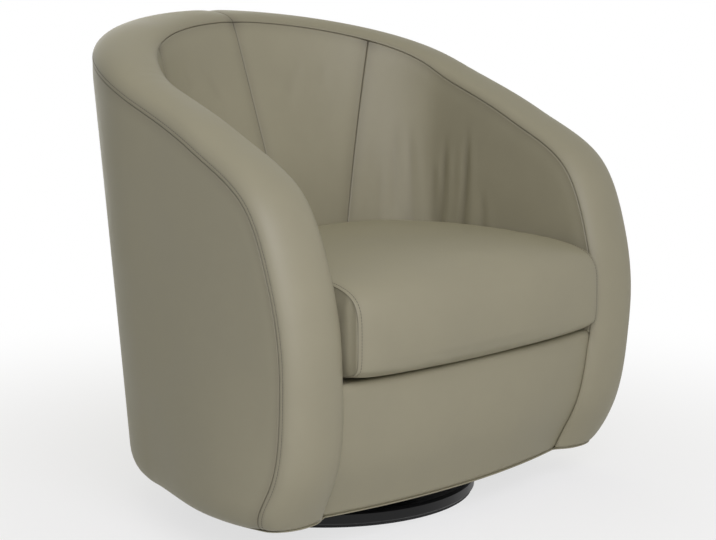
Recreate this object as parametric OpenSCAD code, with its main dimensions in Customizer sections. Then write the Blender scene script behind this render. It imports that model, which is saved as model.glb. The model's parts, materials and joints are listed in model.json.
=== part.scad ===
/* [Tub outline] */
// Height of the back's top edge above the floor
rim_h = 784; // [750:1:820]
// Height of the tub's underside above the floor
floor_gap = 60; // [54:1:70]
// Width of the tub across the back curve, at the rim
tub_w = 800; // [760:1:840]
// How far the back curve reaches behind the straight part of the arms
back_reach = 326; // [305:1:345]
// Distance from the swivel axis back to the start of the back curve
curve_start = 22; // [12:1:30]
// Length of each arm, from the back curve to its furthest point
arm_len = 371; // [355:1:390]
// How far each arm opens outwards at its front
arm_spread = 26; // [16:1:32]
// How far the sides draw in from the rim to the underside
side_taper = 45; // [35:1:55]
// How far the back draws in from the rim to the underside
back_taper = 101; // [90:1:110]
// How far the sides bulge outwards low down, halfway along the arms
arm_bulge = 46; // [30:1:52]
// Squareness of the back curve, where 2 is an ellipse
back_curve = 1.87; // [1.8:0.01:2]
// Height of the rounded hem above the underside
hem_h = 47; // [35:1:55]
// How far the rounded hem draws in at the underside
hem_in = 30; // [20:1:34]

/* [Upholstered wall] */
// Thickness of the wall at the middle of the back, at the rim
back_wall = 118; // [112:1:126]
// Thickness of the wall at the sides, at the rim
side_wall = 99; // [95:1:106]
// Thickness of the wall at the front of the arms, at the rim
front_wall = 126; // [120:1:132]
// Extra thickness of the back at the height of the seat
lumbar = 83; // [70:1:92]
// How much thinner the arms get at the height of the seat
arm_thinning = 12; // [6:1:15]
// Depth of the rounded rim down to its outer seam
crown_out = 30; // [24:1:36]
// Depth of the rounded rim down to its inner seam
crown_in = 19; // [15:1:22]
// How far the front panel bows forward at its foot
front_bow = 31; // [12:1:34]

/* [Seat] */
// Height of the deck that carries the seat cushion
deck_h = 262; // [250:1:275]
// Thickness of the seat cushion at its middle
cushion_t = 176; // [160:1:185]
// How much lower the cushion's top is along its side seams
cushion_crown = 20; // [12:1:26]
// How much higher the cushion's underside is along its side seams
cushion_lift = 8; // [4:1:14]
// How far the cushion stands ahead of the front panel
cushion_ahead = 38; // [30:1:46]
// How far the cushion's front draws back at its side seams
cushion_recess = 8; // [4:1:14]
// Free space between the cushion and the arms
cushion_side_gap = 2; // [1.5:0.1:3]
// Free space between the cushion and the back
cushion_back_gap = 5; // [4:0.5:8]
// Width of the cushion's zip
zip_w = 8; // [6:0.5:10]
// Thickness of the cushion's zip
zip_t = 1; // [0.8:0.1:1.2]

/* [Covers and padding] */
// Thickness of the leather
leather_t = 1.4; // [1:0.1:1.8]
// Clearance between one layer and the next
layer_gap = 0.3; // [0.2:0.05:0.5]
// Thickness of the padding under the outer cover
outer_pad_t = 6; // [4:0.5:8]
// Thickness of the fibreboard liners
board_t = 3; // [2:0.5:4]
// Thickness of the dust cloth under the tub
dust_t = 1.2; // [0.8:0.1:1.5]
// Thickness of the deck padding
deck_pad_t = 20; // [14:1:22]
// Thickness of the front padding at its thinnest place
front_pad_t = 20; // [14:1:26]

/* [Frame] */
// Thickness of the plywood boards
ply_t = 18; // [15:1:20]
// Width of the frame members across the wall
frame_t = 36; // [30:1:38]
// Depth of the bent rim rail under the crown
rim_rail_t = 22; // [18:1:26]
// Width of the shaped facing boards in the arm fronts
facing_w = 62; // [50:1:70]
// Width of the upright posts along the wall
post_w = 44; // [36:1:50]
// Thickness of the seat rails
seat_rail_t = 22; // [18:1:24]
// Height of the seat rails
seat_rail_h = 56; // [45:1:65]
// Clearance between the frame and the liners
frame_gap = 1.2; // [0.8:0.1:2]
// Clearance between the upright posts and what they stand behind
post_play = 3; // [2.5:0.5:4]
// Diameter of the air holes in the bottom board
air_hole_d = 60; // [40:1:70]

/* [Springs] */
// Number of seat springs
spring_count = 5; // [4:1:6]
// Distance between two seat springs
spring_pitch = 100; // [90:1:110]
// Width of a seat spring over its loops
spring_w = 48; // [40:1:54]
// Distance between two runs of a seat spring
spring_loop = 19; // [16:1:24]
// Thickness of the spring wire
wire_t = 3.8; // [3:0.1:4.2]
// Width of a spring clip
clip_w = 10; // [8:1:12]

/* [Swivel base] */
// Radius of the round base plate
base_r = 247; // [232:1:260]
// Thickness of the round base plate
base_t = 22; // [18:1:24]
// Width of the bevel round the base plate
base_bevel = 4; // [2:0.5:6]
// Thickness of the rubber pad under the base plate
pad_t = 3; // [2:0.5:4]
// Radius of the riser between the base plate and the bearing
riser_r = 152; // [146:1:165]
// Radius of the circle that the bearing balls run on
race_r = 120; // [114:1:124]
// Width of the raised ball track
track_w = 17; // [15:1:20]
// Width of the flat bearing plates
plate_w = 54; // [50:1:58]
// Thickness of the bearing plates
plate_t = 2.5; // [2:0.1:3]
// Height of the whole bearing
bearing_h = 13; // [12.4:0.1:14]
// Diameter of the bearing balls
ball_d = 8; // [7:0.1:8.4]
// Number of bearing balls
ball_count = 24; // [16:1:30]
// Running clearance round each ball in its tracks
ball_play = 0.05; // [0.03:0.01:0.09]
// Free height between the two ball tracks
track_gap = 2; // [1.6:0.1:2.6]
// Thickness of the ball cage
cage_t = 1; // [0.8:0.1:1.2]
// Clearance round each ball in the cage
cage_play = 0.3; // [0.2:0.05:0.4]
// Diameter of the swivel bolts
bolt_d = 6; // [5:0.5:8]
// Diameter of the bolt heads
head_d = 11; // [10:0.5:12]
// Thickness of the screw heads
screw_head_t = 2; // [1.6:0.1:2.2]
// Depth of the recesses for the heads under the base plate
head_seat = 5; // [4:0.5:7]
// Depth of the screws in the riser
screw_in = 14; // [10:0.5:18]
// Clearance round each bolt and its head
bolt_play = 0.05; // [0.03:0.01:0.1]
// Diameter of the nuts
nut_d = 12; // [10:0.5:14]
// Thickness of the nuts
nut_t = 5; // [4:0.5:6]
// Number of bolts in each bearing plate
bolt_count = 4; // [3:1:6]

/* [Hidden] */

$fn = 96;
leather = "#9a9585";
foam = "#e3d9bd";
plywood = "#cda874";
fibreboard = "#8f7450";
steel = "#8d9095";
black = "#141414";

// How far a cutting shape runs past what it cuts
overrun = 1;

// Rim line from the middle of the back to the foot of the arm's front.
// First share: place along the wall, 0 at the back's middle, 1 at the end of the back curve, 2 at the
// arm's furthest point. Second share: height between the underside and the back's top edge.
deck_share = (deck_h - floor_gap)/(rim_h - floor_gap);
rim_shares = [[0, 1], [0.5, 0.966], [1, 0.867], [1.45, 0.773], [1.8, 0.664], [1.945, 0.497],
    [1.986, 0.38], [1.985, deck_share], [1.932, 0.104], [1.83, 0]];
// Number of sections in each stretch of the rim line
rim_steps = [5, 5, 3, 2, 3, 2, 2, 2, 3];
// Places along the wall where the bulge of the sides begins and ends
bulge_start_share = 0.85;
bulge_end_share = 2.15;
// Places on the underside and on the deck that the foremost sections of the wall run towards
outer_fan_share = 1.3;
inner_fan_share = 1.55;
// Sections down the outside, down the inside and across the rounded rim
outer_rows = 7;
inner_rows = 6;
crown_steps = 6;
// How strongly the outer rows crowd towards the hem
row_bias = 2;
// Greatest share of the wall's growth towards the seat
lumbar_limit_share = 1.3;
// Height share at which the wall has its full seat thickness
seat_level_share = 0.49;
// Place where the back rail meets the side rails
side_rail_share = 0.8;
// Height share of the seam round the cushion's middle
cushion_seam_share = 0.44;

// Length of the back curve from its middle to one side
back_arc = PI/2*sqrt((tub_w*tub_w/4 + back_reach*back_reach)/2);

function mix(from, to, share) = from + (to - from)*share;
function clamp(value, low, high) = max(low, min(high, value));
function unit(v) = v/norm(v);
function ease(share) = (1 - cos(180*share))/2;
function signed_pow(value, power) = sign(value)*pow(abs(value), power);
function arc_of(place) = place <= 1 ? place*back_arc : back_arc + (place - 1)*arm_len;
function place_of(arc) = arc <= back_arc ? arc/back_arc : 1 + (arc - back_arc)/arm_len;
function total(list, count) = count == 0 ? 0 : list[count - 1] + total(list, count - 1);

// Plan of the wall at the rim, and the direction that faces outwards there
function plan_point(place) =
    let (turn = 90*min(abs(place), 1), ahead = max(abs(place) - 1, 0))
    [tub_w/2*pow(sin(turn), 2/back_curve) + arm_spread*ahead*ahead,
        curve_start + back_reach*pow(cos(turn), 2/back_curve) - ahead*arm_len];
function plan_normal(place) =
    let (turn = 90*min(abs(place), 1), power = 2 - 2/back_curve)
    unit([pow(sin(turn), power)/tub_w*2, pow(cos(turn), power)/back_reach]);

// A point of the wall, moved inwards from the rim's plan by inset
function wall_point(place, z, inset) =
    let (p = plan_point(place) - plan_normal(place)*inset)
    [place < 0 ? -p.x : p.x, p.y, z];
// Share of the way down from the rim, the bulge of the sides, and how far the wall leans in
function fallen(z) = clamp((rim_h - z)/(rim_h - floor_gap), 0, 1);
function bulge(place, z) =
    let (along = clamp((abs(place) - bulge_start_share)/(bulge_end_share - bulge_start_share), 0, 1))
    arm_bulge*pow(sin(180*along)*fallen(z), 2);
function draw_in(place, z) =
    mix(back_taper, side_taper, ease(min(abs(place), 1)))*fallen(z) - bulge(place, z);
function hem(z) =
    let (down = clamp((floor_gap + hem_h - z)/hem_h, 0, 1))
    hem_in*(1 - sqrt(1 - down*down));
function wall_t(place, z) =
    let (p = abs(place), round_back = ease(min(p, 1)), along_arm = pow(clamp(p - 1, 0, 1), 2),
        fall = min(fallen(z)/(1 - seat_level_share), lumbar_limit_share))
    mix(mix(back_wall, side_wall, round_back), front_wall, along_arm)
        + mix(lumbar, -arm_thinning, round_back)*fall + bulge(place, z);
function outer_point(place, z, depth) = wall_point(place, z, draw_in(place, z) + hem(z) + depth);
function inner_point(place, z, depth) = wall_point(place, z, draw_in(place, z) + wall_t(place, z) - depth);

// The rim line as a smooth curve through its shares, in lengths along the wall and up
rim_nodes = [for (r = rim_shares) [arc_of(r[0]), mix(floor_gap, rim_h, r[1])]];
last_node = len(rim_nodes) - 1;
function stretch(i) = norm(rim_nodes[i + 1] - rim_nodes[i]);
function slope(i) =
    i == 0 ? [1, 0] :
    i == last_node ? (rim_nodes[i] - rim_nodes[i - 1])/stretch(i - 1) :
    ((rim_nodes[i] - rim_nodes[i - 1])/stretch(i - 1)*stretch(i)
        + (rim_nodes[i + 1] - rim_nodes[i])/stretch(i)*stretch(i - 1))/(stretch(i) + stretch(i - 1));
function rim_at(i, t) =
    rim_nodes[i]*(1 + 2*t)*(1 - t)*(1 - t) + slope(i)*stretch(i)*t*(1 - t)*(1 - t)
    + rim_nodes[i + 1]*t*t*(3 - 2*t) + slope(i + 1)*stretch(i)*t*t*(t - 1);
function rim_way(i, t) =
    rim_nodes[i]*6*t*(t - 1) + slope(i)*stretch(i)*(1 - t)*(1 - 3*t)
    + rim_nodes[i + 1]*6*t*(1 - t) + slope(i + 1)*stretch(i)*t*(3*t - 2);
rim = concat([for (i = [0:last_node - 1]) for (s = [0:rim_steps[i] - 1]) rim_at(i, s/rim_steps[i])],
    [rim_nodes[last_node]]);
rim_ways = concat([for (i = [0:last_node - 1]) for (s = [0:rim_steps[i] - 1]) rim_way(i, s/rim_steps[i])],
    [rim_way(last_node - 1, 1)]);
// Inward direction at each section, turned level where the rim line meets the underside
rim_in = [for (k = [0:len(rim) - 1])
    let (way = unit(rim_ways[k]), up = clamp((rim[k].y - floor_gap)/hem_h, 0, 1))
    unit([way.y, way.x < 0 ? -way.x*up : -way.x])];
rim_run = [for (k = 0, run = 0; k < len(rim);
    run = run + (k + 1 < len(rim) ? norm(rim[k + 1] - rim[k]) : 0), k = k + 1) run];

// Sections with a name
seam_k = total(rim_steps, 1) + 1;
facing_k = total(rim_steps, 4);
deck_k = total(rim_steps, 7);
foot_k = len(rim) - 1;

function below_rim(k, depth) = rim[k] + rim_in[k]*depth;
// Lines from the outer seam to the underside, and from the inner seam to the deck
function outer_line(k, start, share) =
    mix(below_rim(k, start), [arc_of(outer_fan_share*rim_run[k]/rim_run[foot_k]), floor_gap], share);
function inner_line(k, start, share) =
    mix(below_rim(k, start),
        [arc_of(inner_fan_share*rim_run[k]/rim_run[deck_k]), deck_h + layer_gap], share);
function outer_sheet(depth) =
    [for (k = [0:foot_k]) [for (j = [0:outer_rows])
        let (p = outer_line(k, crown_out + layer_gap, 1 - pow(1 - j/outer_rows, row_bias)))
        outer_point(place_of(p.x), p.y, depth)]];
function inner_sheet(depth, k0, k1) =
    [for (k = [k0:k1]) [for (j = [0:inner_rows])
        let (p = inner_line(k, crown_in + layer_gap, j/inner_rows))
        inner_point(place_of(p.x), p.y, depth)]];
function liner_sheet(depth, k0, k1) =
    [for (k = [k0:k1]) [for (j = [0:inner_rows])
        let (p = inner_line(k, crown_out + layer_gap, j/inner_rows))
        outer_point(place_of(p.x), p.y, depth)]];
// Points across the rounded rim, from its outer seam to its inner one
function crown_point(k, turn, depth) =
    let (share = (1 - cos(turn))/2, crown = turn < 90 ? crown_out : crown_in,
        p = below_rim(k, crown*(1 - sin(turn)) + depth*sin(turn)), place = place_of(p.x),
        inset = draw_in(place, p.y) + hem(p.y)*(1 - share))
    wall_point(place, p.y, inset + mix(depth, wall_t(place, p.y) - depth, share));
function crown_sheet(depth, first, last) =
    [for (k = [0:foot_k]) [for (j = [first:last]) crown_point(k, 180*j/crown_steps, depth)]];
function crown_base(first, last) =
    [for (k = [0:foot_k]) [for (j = [first:last])
        let (share = (1 - cos(180*j/crown_steps))/2,
            p = below_rim(k, mix(crown_out, crown_in, share)), place = place_of(p.x),
            inset = draw_in(place, p.y) + hem(p.y)*(1 - share),
            depth = leather_t + layer_gap)
        wall_point(place, p.y, inset + mix(depth, wall_t(place, p.y) - depth, share))]];

// A closed solid between two sheets of points that have the same rows
module slab(near, far) {
    n = len(near);
    m = len(near[0]);
    i0 = floor(n/2) - 1 < 0 ? 0 : floor(n/2) - 1;
    j0 = floor(m/2) - 1 < 0 ? 0 : floor(m/2) - 1;
    facing = cross(near[i0 + 1][j0] - near[i0][j0], near[i0][j0 + 1] - near[i0][j0])
        *(near[i0][j0] - far[i0][j0]);
    function a(i, j) = i*m + j;
    function b(i, j) = n*m + i*m + j;
    faces = concat(
        [for (i = [0:n - 2]) for (j = [0:m - 2]) each [
            [a(i, j), a(i, j + 1), a(i + 1, j + 1)], [a(i, j), a(i + 1, j + 1), a(i + 1, j)],
            [b(i, j), b(i + 1, j + 1), b(i, j + 1)], [b(i, j), b(i + 1, j), b(i + 1, j + 1)]]],
        [for (j = [0:m - 2]) each [
            [a(0, j), b(0, j + 1), a(0, j + 1)], [a(0, j), b(0, j), b(0, j + 1)],
            [a(n - 1, j), a(n - 1, j + 1), b(n - 1, j + 1)],
            [a(n - 1, j), b(n - 1, j + 1), b(n - 1, j)]]],
        [for (i = [0:n - 2]) each [
            [a(i, 0), a(i + 1, 0), b(i + 1, 0)], [a(i, 0), b(i + 1, 0), b(i, 0)],
            [a(i, m - 1), b(i + 1, m - 1), a(i + 1, m - 1)],
            [a(i, m - 1), b(i, m - 1), b(i + 1, m - 1)]]]);
    polyhedron(points = concat([for (row = near) each row], [for (row = far) each row]),
        faces = facing > 0 ? faces : [for (f = faces) [f[0], f[2], f[1]]]);
}

// A point of the wall that leaves out the hem's rounding
function straight_point(place, z, depth) = wall_point(place, z, draw_in(place, z) + depth);

// A straight-sided member that follows the wall between two places and two heights
module wall_bar(first, last, low, high, depth, thickness, steps) {
    places = [for (i = [0:steps]) mix(first, last, i/steps)];
    function side(inset) = [for (p = places) [outer_point(p, low, inset), outer_point(p, high, inset)]];
    slab(side(depth), side(depth + thickness));
}

module left() {
    mirror([1, 0, 0]) children();
}

// Depths of the layers, counted inwards from the outer face
pad_depth = leather_t + layer_gap;
outer_board_depth = pad_depth + outer_pad_t + layer_gap;
frame_depth = outer_board_depth + board_t + frame_gap;
inner_board_depth = frame_depth + frame_t + frame_gap;
foam_depth = inner_board_depth + board_t + layer_gap;

// Front panel, a sheet between the two inner seams of the arm fronts
front_cols = 10;
function front_seam(k) =
    let (p = below_rim(k, crown_in), q = inner_point(place_of(p.x), p.y, 0))
    [q.x - layer_gap, q.y, p.y];
function front_point(k, across, depth) =
    let (s = front_seam(k), down = (deck_h - s.z)/(deck_h - floor_gap))
    [s.x*across, s.y + depth - front_bow*down*(1 - across*across), s.z];
function front_sheet(depth) =
    [for (k = [deck_k:foot_k]) [for (i = [0:front_cols]) front_point(k, 2*i/front_cols - 1, depth)]];
front_top = front_seam(deck_k);
rail_front = front_seam(foot_k).y + leather_t + layer_gap + front_pad_t;
rail_back = rail_front + ply_t;

// Plan of the tub's inside at one height, from the front of one arm round to the other
plan_steps = 24;
board_place = 1 + (curve_start - rail_front)/arm_len;
rail_place = 1 + (curve_start - rail_back - layer_gap)/arm_len;
function wall_plan(z, depth) =
    [for (i = [-plan_steps:plan_steps])
        let (p = outer_point(i/plan_steps*board_place, z, depth)) [p.x, p.y]];

// Heights of the frame and the seat
board_top = floor_gap + ply_t;
deck_under = deck_h - leather_t;
pad_under = deck_under - layer_gap - deck_pad_t;
rail_top = pad_under - 2*layer_gap - wire_t;
rail_low = rail_top - seat_rail_h;
rail_depth = frame_depth + frame_t + layer_gap;
post_depth = frame_depth + hem(board_top) + post_play;
post_t = rail_depth - layer_gap - post_play/2 - post_depth;
facing_depth = post_depth + 2*post_play;

// Heights of the swivel base
base_top = pad_t + base_t;
bearing_low = floor_gap - bearing_h;
ball_z = bearing_low + bearing_h/2;
bolt_circle_r = race_r + (track_w + plate_w)/4;

module base_plate() {
    color(black) translate([0, 0, pad_t]) difference() {
        rotate_extrude() polygon([[0, 0], [base_r - base_bevel, 0], [base_r, base_bevel],
            [base_r, base_t - base_bevel], [base_r - base_bevel, base_t], [0, base_t]]);
        at_bolts(riser_bolt_r, 0)
            translate([0, 0, -overrun]) cylinder(d = head_d + 2*bolt_play, h = head_seat + overrun);
        at_bolts(riser_bolt_r, 0)
            translate([0, 0, -overrun]) cylinder(d = bolt_d + 2*bolt_play, h = base_t + 2*overrun);
    }
}

// Bolts stand in a ring, and the screws of the lower race stand between the bolts of the upper one
between_bolts = 180/bolt_count;
riser_bolt_r = race_r - plate_w/2 - head_d;
module at_bolts(radius, turn) {
    for (i = [0:bolt_count - 1])
        rotate([0, 0, turn + 360*i/bolt_count]) translate([radius, 0, 0]) children();
}

module base_pad() {
    color(black) cylinder(r = base_r - base_bevel, h = pad_t);
}

riser_t = bearing_low - base_top;
module base_riser() {
    color(black) translate([0, 0, base_top]) difference() {
        cylinder(r = riser_r, h = riser_t);
        at_bolts(riser_bolt_r, 0)
            translate([0, 0, -overrun]) cylinder(d = bolt_d + 2*bolt_play, h = screw_in + overrun);
        at_bolts(bolt_circle_r, between_bolts)
            translate([0, 0, riser_t - screw_in]) cylinder(d = bolt_d + 2*bolt_play, h = screw_in + overrun);
    }
}

module base_screws() {
    color(steel) at_bolts(riser_bolt_r, 0) {
        translate([0, 0, pad_t]) cylinder(d = head_d, h = head_seat - layer_gap);
        translate([0, 0, pad_t]) cylinder(d = bolt_d, h = base_t + screw_in - layer_gap);
    }
}

track_t = (bearing_h - track_gap)/2;
module race_profile() {
    polygon([[race_r - plate_w/2, 0], [race_r + plate_w/2, 0], [race_r + plate_w/2, plate_t],
        [race_r + track_w/2, plate_t], [race_r + track_w/2, track_t], [race_r - track_w/2, track_t],
        [race_r - track_w/2, plate_t], [race_r - plate_w/2, plate_t]]);
}
module race(turn) {
    difference() {
        rotate_extrude() difference() {
            race_profile();
            translate([race_r, bearing_h/2]) circle(d = ball_d + 2*ball_play);
        }
        at_bolts(bolt_circle_r, turn)
            translate([0, 0, -overrun]) cylinder(d = bolt_d + 2*bolt_play, h = plate_t + 2*overrun);
    }
}

module lower_race() {
    color(steel) translate([0, 0, bearing_low]) race(between_bolts);
}

module lower_race_screws() {
    color(steel) at_bolts(bolt_circle_r, between_bolts) {
        translate([0, 0, bearing_low - screw_in + layer_gap])
            cylinder(d = bolt_d, h = screw_in - layer_gap + plate_t);
        translate([0, 0, bearing_low + plate_t]) cylinder(d = head_d, h = screw_head_t);
    }
}

ball_sides = 48;
module bearing_balls() {
    color(steel) for (i = [0:ball_count - 1])
        rotate([0, 0, 360*i/ball_count]) translate([race_r, 0, ball_z]) sphere(d = ball_d, $fn = ball_sides);
}

module ball_cage() {
    color(steel) difference() {
        translate([0, 0, ball_z - cage_t/2]) rotate_extrude()
            translate([race_r - track_w/2, 0]) square([track_w, cage_t]);
        for (i = [0:ball_count - 1]) rotate([0, 0, 360*i/ball_count])
            translate([race_r, 0, ball_z - cage_t]) cylinder(d = ball_d + 2*cage_play, h = 2*cage_t);
    }
}

module upper_race() {
    color(steel) translate([0, 0, floor_gap]) mirror([0, 0, 1]) race(0);
}

module upper_race_bolts() {
    color(steel) at_bolts(bolt_circle_r, 0) {
        translate([0, 0, floor_gap - plate_t - screw_head_t]) cylinder(d = head_d, h = screw_head_t);
        translate([0, 0, floor_gap - plate_t]) cylinder(d = bolt_d, h = plate_t + ply_t + nut_t);
        translate([0, 0, board_top]) cylinder(d = nut_d, h = nut_t);
    }
}

air_hole_r = riser_r + air_hole_d/2;
module bottom_board() {
    color(plywood) translate([0, 0, floor_gap]) difference() {
        linear_extrude(ply_t) polygon(wall_plan(floor_gap, frame_depth));
        for (i = [0:bolt_count - 1]) rotate([0, 0, between_bolts + 360*i/bolt_count])
            translate([air_hole_r, 0, -overrun]) cylinder(d = air_hole_d, h = ply_t + 2*overrun);
        at_bolts(bolt_circle_r, 0)
            translate([0, 0, -overrun]) cylinder(d = bolt_d + 2*bolt_play, h = ply_t + 2*overrun);
    }
}

module dust_cover() {
    color(black) translate([0, 0, floor_gap - layer_gap - dust_t]) difference() {
        linear_extrude(dust_t) polygon(wall_plan(floor_gap, outer_board_depth));
        translate([0, 0, -overrun]) cylinder(r = riser_r, h = dust_t + 2*overrun);
    }
}

// Bent rail under the rim, one half
function rail_sheet(depth) =
    [for (k = [0:facing_k]) [for (down = [crown_out + layer_gap, crown_out + layer_gap + rim_rail_t])
        let (p = below_rim(k, down)) outer_point(place_of(p.x), p.y, depth)]];
module rim_rail_right() {
    color(plywood) slab(rail_sheet(frame_depth), rail_sheet(frame_depth + frame_t));
}
module rim_rail_left() {
    color(plywood) left() rim_rail_right();
}

// Facing board that is cut to the curve of the arm's front
facing_rows = 2;
function facing_sheet(depth) =
    [for (k = [facing_k:foot_k]) [for (j = [0:facing_rows])
        let (p = below_rim(k, crown_out + layer_gap + facing_w*j/facing_rows))
        straight_point(place_of(p.x), max(p.y, board_top), depth)]];
module arm_facing_right() {
    color(plywood) slab(facing_sheet(facing_depth), facing_sheet(facing_depth + ply_t));
}
module arm_facing_left() {
    color(plywood) left() arm_facing_right();
}

// Underside of the rim rail above a place on the wall
rail_under = [for (k = [0:facing_k])
    let (p = below_rim(k, crown_out + layer_gap + rim_rail_t)) [place_of(p.x), p.y - post_play/2]];
module post(place) {
    half = post_w/2/(abs(place) < 1 ? back_arc : arm_len);
    ends = [place - half, place + half];
    slab([for (p = ends) [straight_point(p, board_top, post_depth),
            straight_point(p, lookup(abs(p), rail_under), post_depth)]],
        [for (p = ends) [straight_point(p, board_top, post_depth + post_t),
            straight_point(p, lookup(abs(p), rail_under), post_depth + post_t)]]);
}
back_post_shares = [-0.44, 0, 0.44];
arm_post_shares = [0.9, 1.4];
module back_posts() {
    color(plywood) for (place = back_post_shares) post(place);
}
module arm_posts() {
    color(plywood) for (place = arm_post_shares) {
        post(place);
        left() post(place);
    }
}

rail_steps = 8;
module side_rail_right() {
    color(plywood)
        wall_bar(side_rail_share, rail_place, rail_low, rail_top, rail_depth, seat_rail_t, rail_steps);
}
module side_rail_left() {
    color(plywood) left() side_rail_right();
}
module back_rail() {
    color(plywood)
        wall_bar(-side_rail_share, side_rail_share, rail_low, rail_top, rail_depth, seat_rail_t,
            2*rail_steps);
}

// The front rail reaches from one facing board to the other
front_rail_half = min([for (row = facing_sheet(facing_depth + ply_t)) for (p = row) p.x]) - layer_gap;
module front_rail() {
    color(plywood) translate([-front_rail_half, rail_front, board_top])
        cube([2*front_rail_half, ply_t, rail_top - board_top]);
}

// A seat spring: one wire bent into level loops between the front rail and the back rail
rail_line = [for (i = [0:plan_steps])
    let (p = outer_point(i/plan_steps, rail_top, rail_depth + seat_rail_t/2)) [p.x, p.y]];
loop_r = spring_loop/2;
function spring_runs(x) = 2*floor((lookup(abs(x), rail_line) - rail_front - ply_t/4)/spring_loop/2);
function spring_line(x) =
    let (runs = spring_runs(x), start = lookup(abs(x), rail_line) - runs*spring_loop)
    concat([[x, start, 0, 1]], [for (i = [0:runs - 1]) for (s = [0:loop_steps])
        let (side = i % 2 == 0 ? 1 : -1, turn = 180*s/loop_steps)
        [x + side*(spring_w/2 - wire_t/2 - loop_r + loop_r*sin(turn)),
            start + spring_loop*(i + 1/2) - loop_r*cos(turn), side*cos(turn), sin(turn)]],
        [[x, start + runs*spring_loop, 0, 1]]);
loop_steps = 5;
module spring(x) {
    line = spring_line(x);
    linear_extrude(wire_t) polygon(concat(
        [for (p = line) [p[0] - p[3]*wire_t/2, p[1] + p[2]*wire_t/2]],
        [for (i = [len(line) - 1:-1:0]) let (p = line[i]) [p[0] + p[3]*wire_t/2, p[1] - p[2]*wire_t/2]]));
}
function spring_x(i) = (i - (spring_count - 1)/2)*spring_pitch;
module seat_springs() {
    color(steel) translate([0, 0, rail_top + layer_gap])
        for (i = [0:spring_count - 1]) spring(spring_x(i));
}

// Clips hold both ends of each spring on the rails, one jaw at each side of the wire
module clip(x, y) {
    for (side = [-1, 1])
        translate([x - clip_w/2, y + side*(wire_t/2 + layer_gap + wire_t/2) - wire_t/2, rail_top])
            cube([clip_w, wire_t, wire_t]);
}
module spring_clips() {
    color(steel) for (i = [0:spring_count - 1]) {
        line = spring_line(spring_x(i));
        clip(spring_x(i) + clip_w/2, line[0][1]);
        clip(spring_x(i) - clip_w/2, line[len(line) - 1][1]);
    }
}

deck_half = front_top.x - 2*leather_t;
function deck_plan(depth, front) =
    concat([[-deck_half, front], [-deck_half, rail_front]], wall_plan(pad_under, depth),
        [[deck_half, rail_front], [deck_half, front]]);
module deck_pad() {
    color(foam) translate([0, 0, pad_under])
        linear_extrude(deck_pad_t) polygon(wall_plan(pad_under, rail_depth));
}
module deck_cover() {
    color(black) translate([0, 0, deck_under])
        linear_extrude(leather_t) polygon(deck_plan(rail_depth, front_top.y + leather_t + layer_gap));
}

module outer_board_right() {
    color(fibreboard) slab(outer_sheet(outer_board_depth), outer_sheet(outer_board_depth + board_t));
}
module outer_board_left() {
    color(fibreboard) left() outer_board_right();
}
module inner_board_right() {
    color(fibreboard) slab(liner_sheet(inner_board_depth, seam_k, deck_k),
        liner_sheet(inner_board_depth + board_t, seam_k, deck_k));
}
module inner_board_left() {
    color(fibreboard) left() inner_board_right();
}
module back_board() {
    color(fibreboard) for (side = [0, 1]) mirror([side, 0, 0])
        slab(liner_sheet(inner_board_depth, 0, seam_k),
            liner_sheet(inner_board_depth + board_t, 0, seam_k));
}

module outer_pad_right() {
    color(foam) slab(outer_sheet(pad_depth), outer_sheet(pad_depth + outer_pad_t));
}
module outer_pad_left() {
    color(foam) left() outer_pad_right();
}
module arm_foam_right() {
    color(foam) slab(liner_sheet(foam_depth, seam_k, deck_k), inner_sheet(pad_depth, seam_k, deck_k));
}
module arm_foam_left() {
    color(foam) left() arm_foam_right();
}
module back_foam() {
    color(foam) for (side = [0, 1]) mirror([side, 0, 0])
        slab(liner_sheet(foam_depth, 0, seam_k), inner_sheet(pad_depth, 0, seam_k));
}
module rim_pad_right() {
    color(foam) slab(crown_sheet(pad_depth, 1, crown_steps - 1), crown_base(1, crown_steps - 1));
}
module rim_pad_left() {
    color(foam) left() rim_pad_right();
}
module front_pad() {
    top = deck_under - layer_gap;
    face = [for (row = front_sheet(pad_depth)) [for (p = row) [p.x, p.y, min(p.z, top)]]];
    color(foam) slab(face, [for (row = face) [for (p = row) [p.x, rail_front - layer_gap, p.z]]]);
}

module outer_cover_right() {
    color(leather) slab(outer_sheet(0), outer_sheet(leather_t));
}
module outer_cover_left() {
    color(leather) left() outer_cover_right();
}
module rim_band_right() {
    color(leather) slab(crown_sheet(0, 0, crown_steps), crown_sheet(leather_t, 0, crown_steps));
}
module rim_band_left() {
    color(leather) left() rim_band_right();
}
module inside_back_right() {
    color(leather) slab(inner_sheet(leather_t, 0, seam_k), inner_sheet(0, 0, seam_k));
}
module inside_back_left() {
    color(leather) left() inside_back_right();
}
module inside_arm_right() {
    color(leather) slab(inner_sheet(leather_t, seam_k, deck_k), inner_sheet(0, seam_k, deck_k));
}
module inside_arm_left() {
    color(leather) left() inside_arm_right();
}
module front_panel() {
    color(leather) slab(front_sheet(0), front_sheet(leather_t));
}

// Seat cushion: a rounded profile from front to back, at sections across its width
cushion_low = deck_h + layer_gap;
cushion_high = cushion_low + cushion_t;
cushion_mid = mix(cushion_low, cushion_high, cushion_seam_share);
cushion_half = min(inner_point(1, cushion_low, 0).x, inner_point(2, cushion_low, 0).x) - cushion_side_gap;
cushion_front = front_top.y - cushion_ahead;
cushion_cols = 10;
turn_steps = 24;
// Squareness of the cushion's profile above and below its seam, where 2 is an ellipse
top_power = 4;
under_power = 7;
// How late the crown and the recess of the cushion set in towards its side seams
crown_power = 3;
recess_power = 4;
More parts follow.
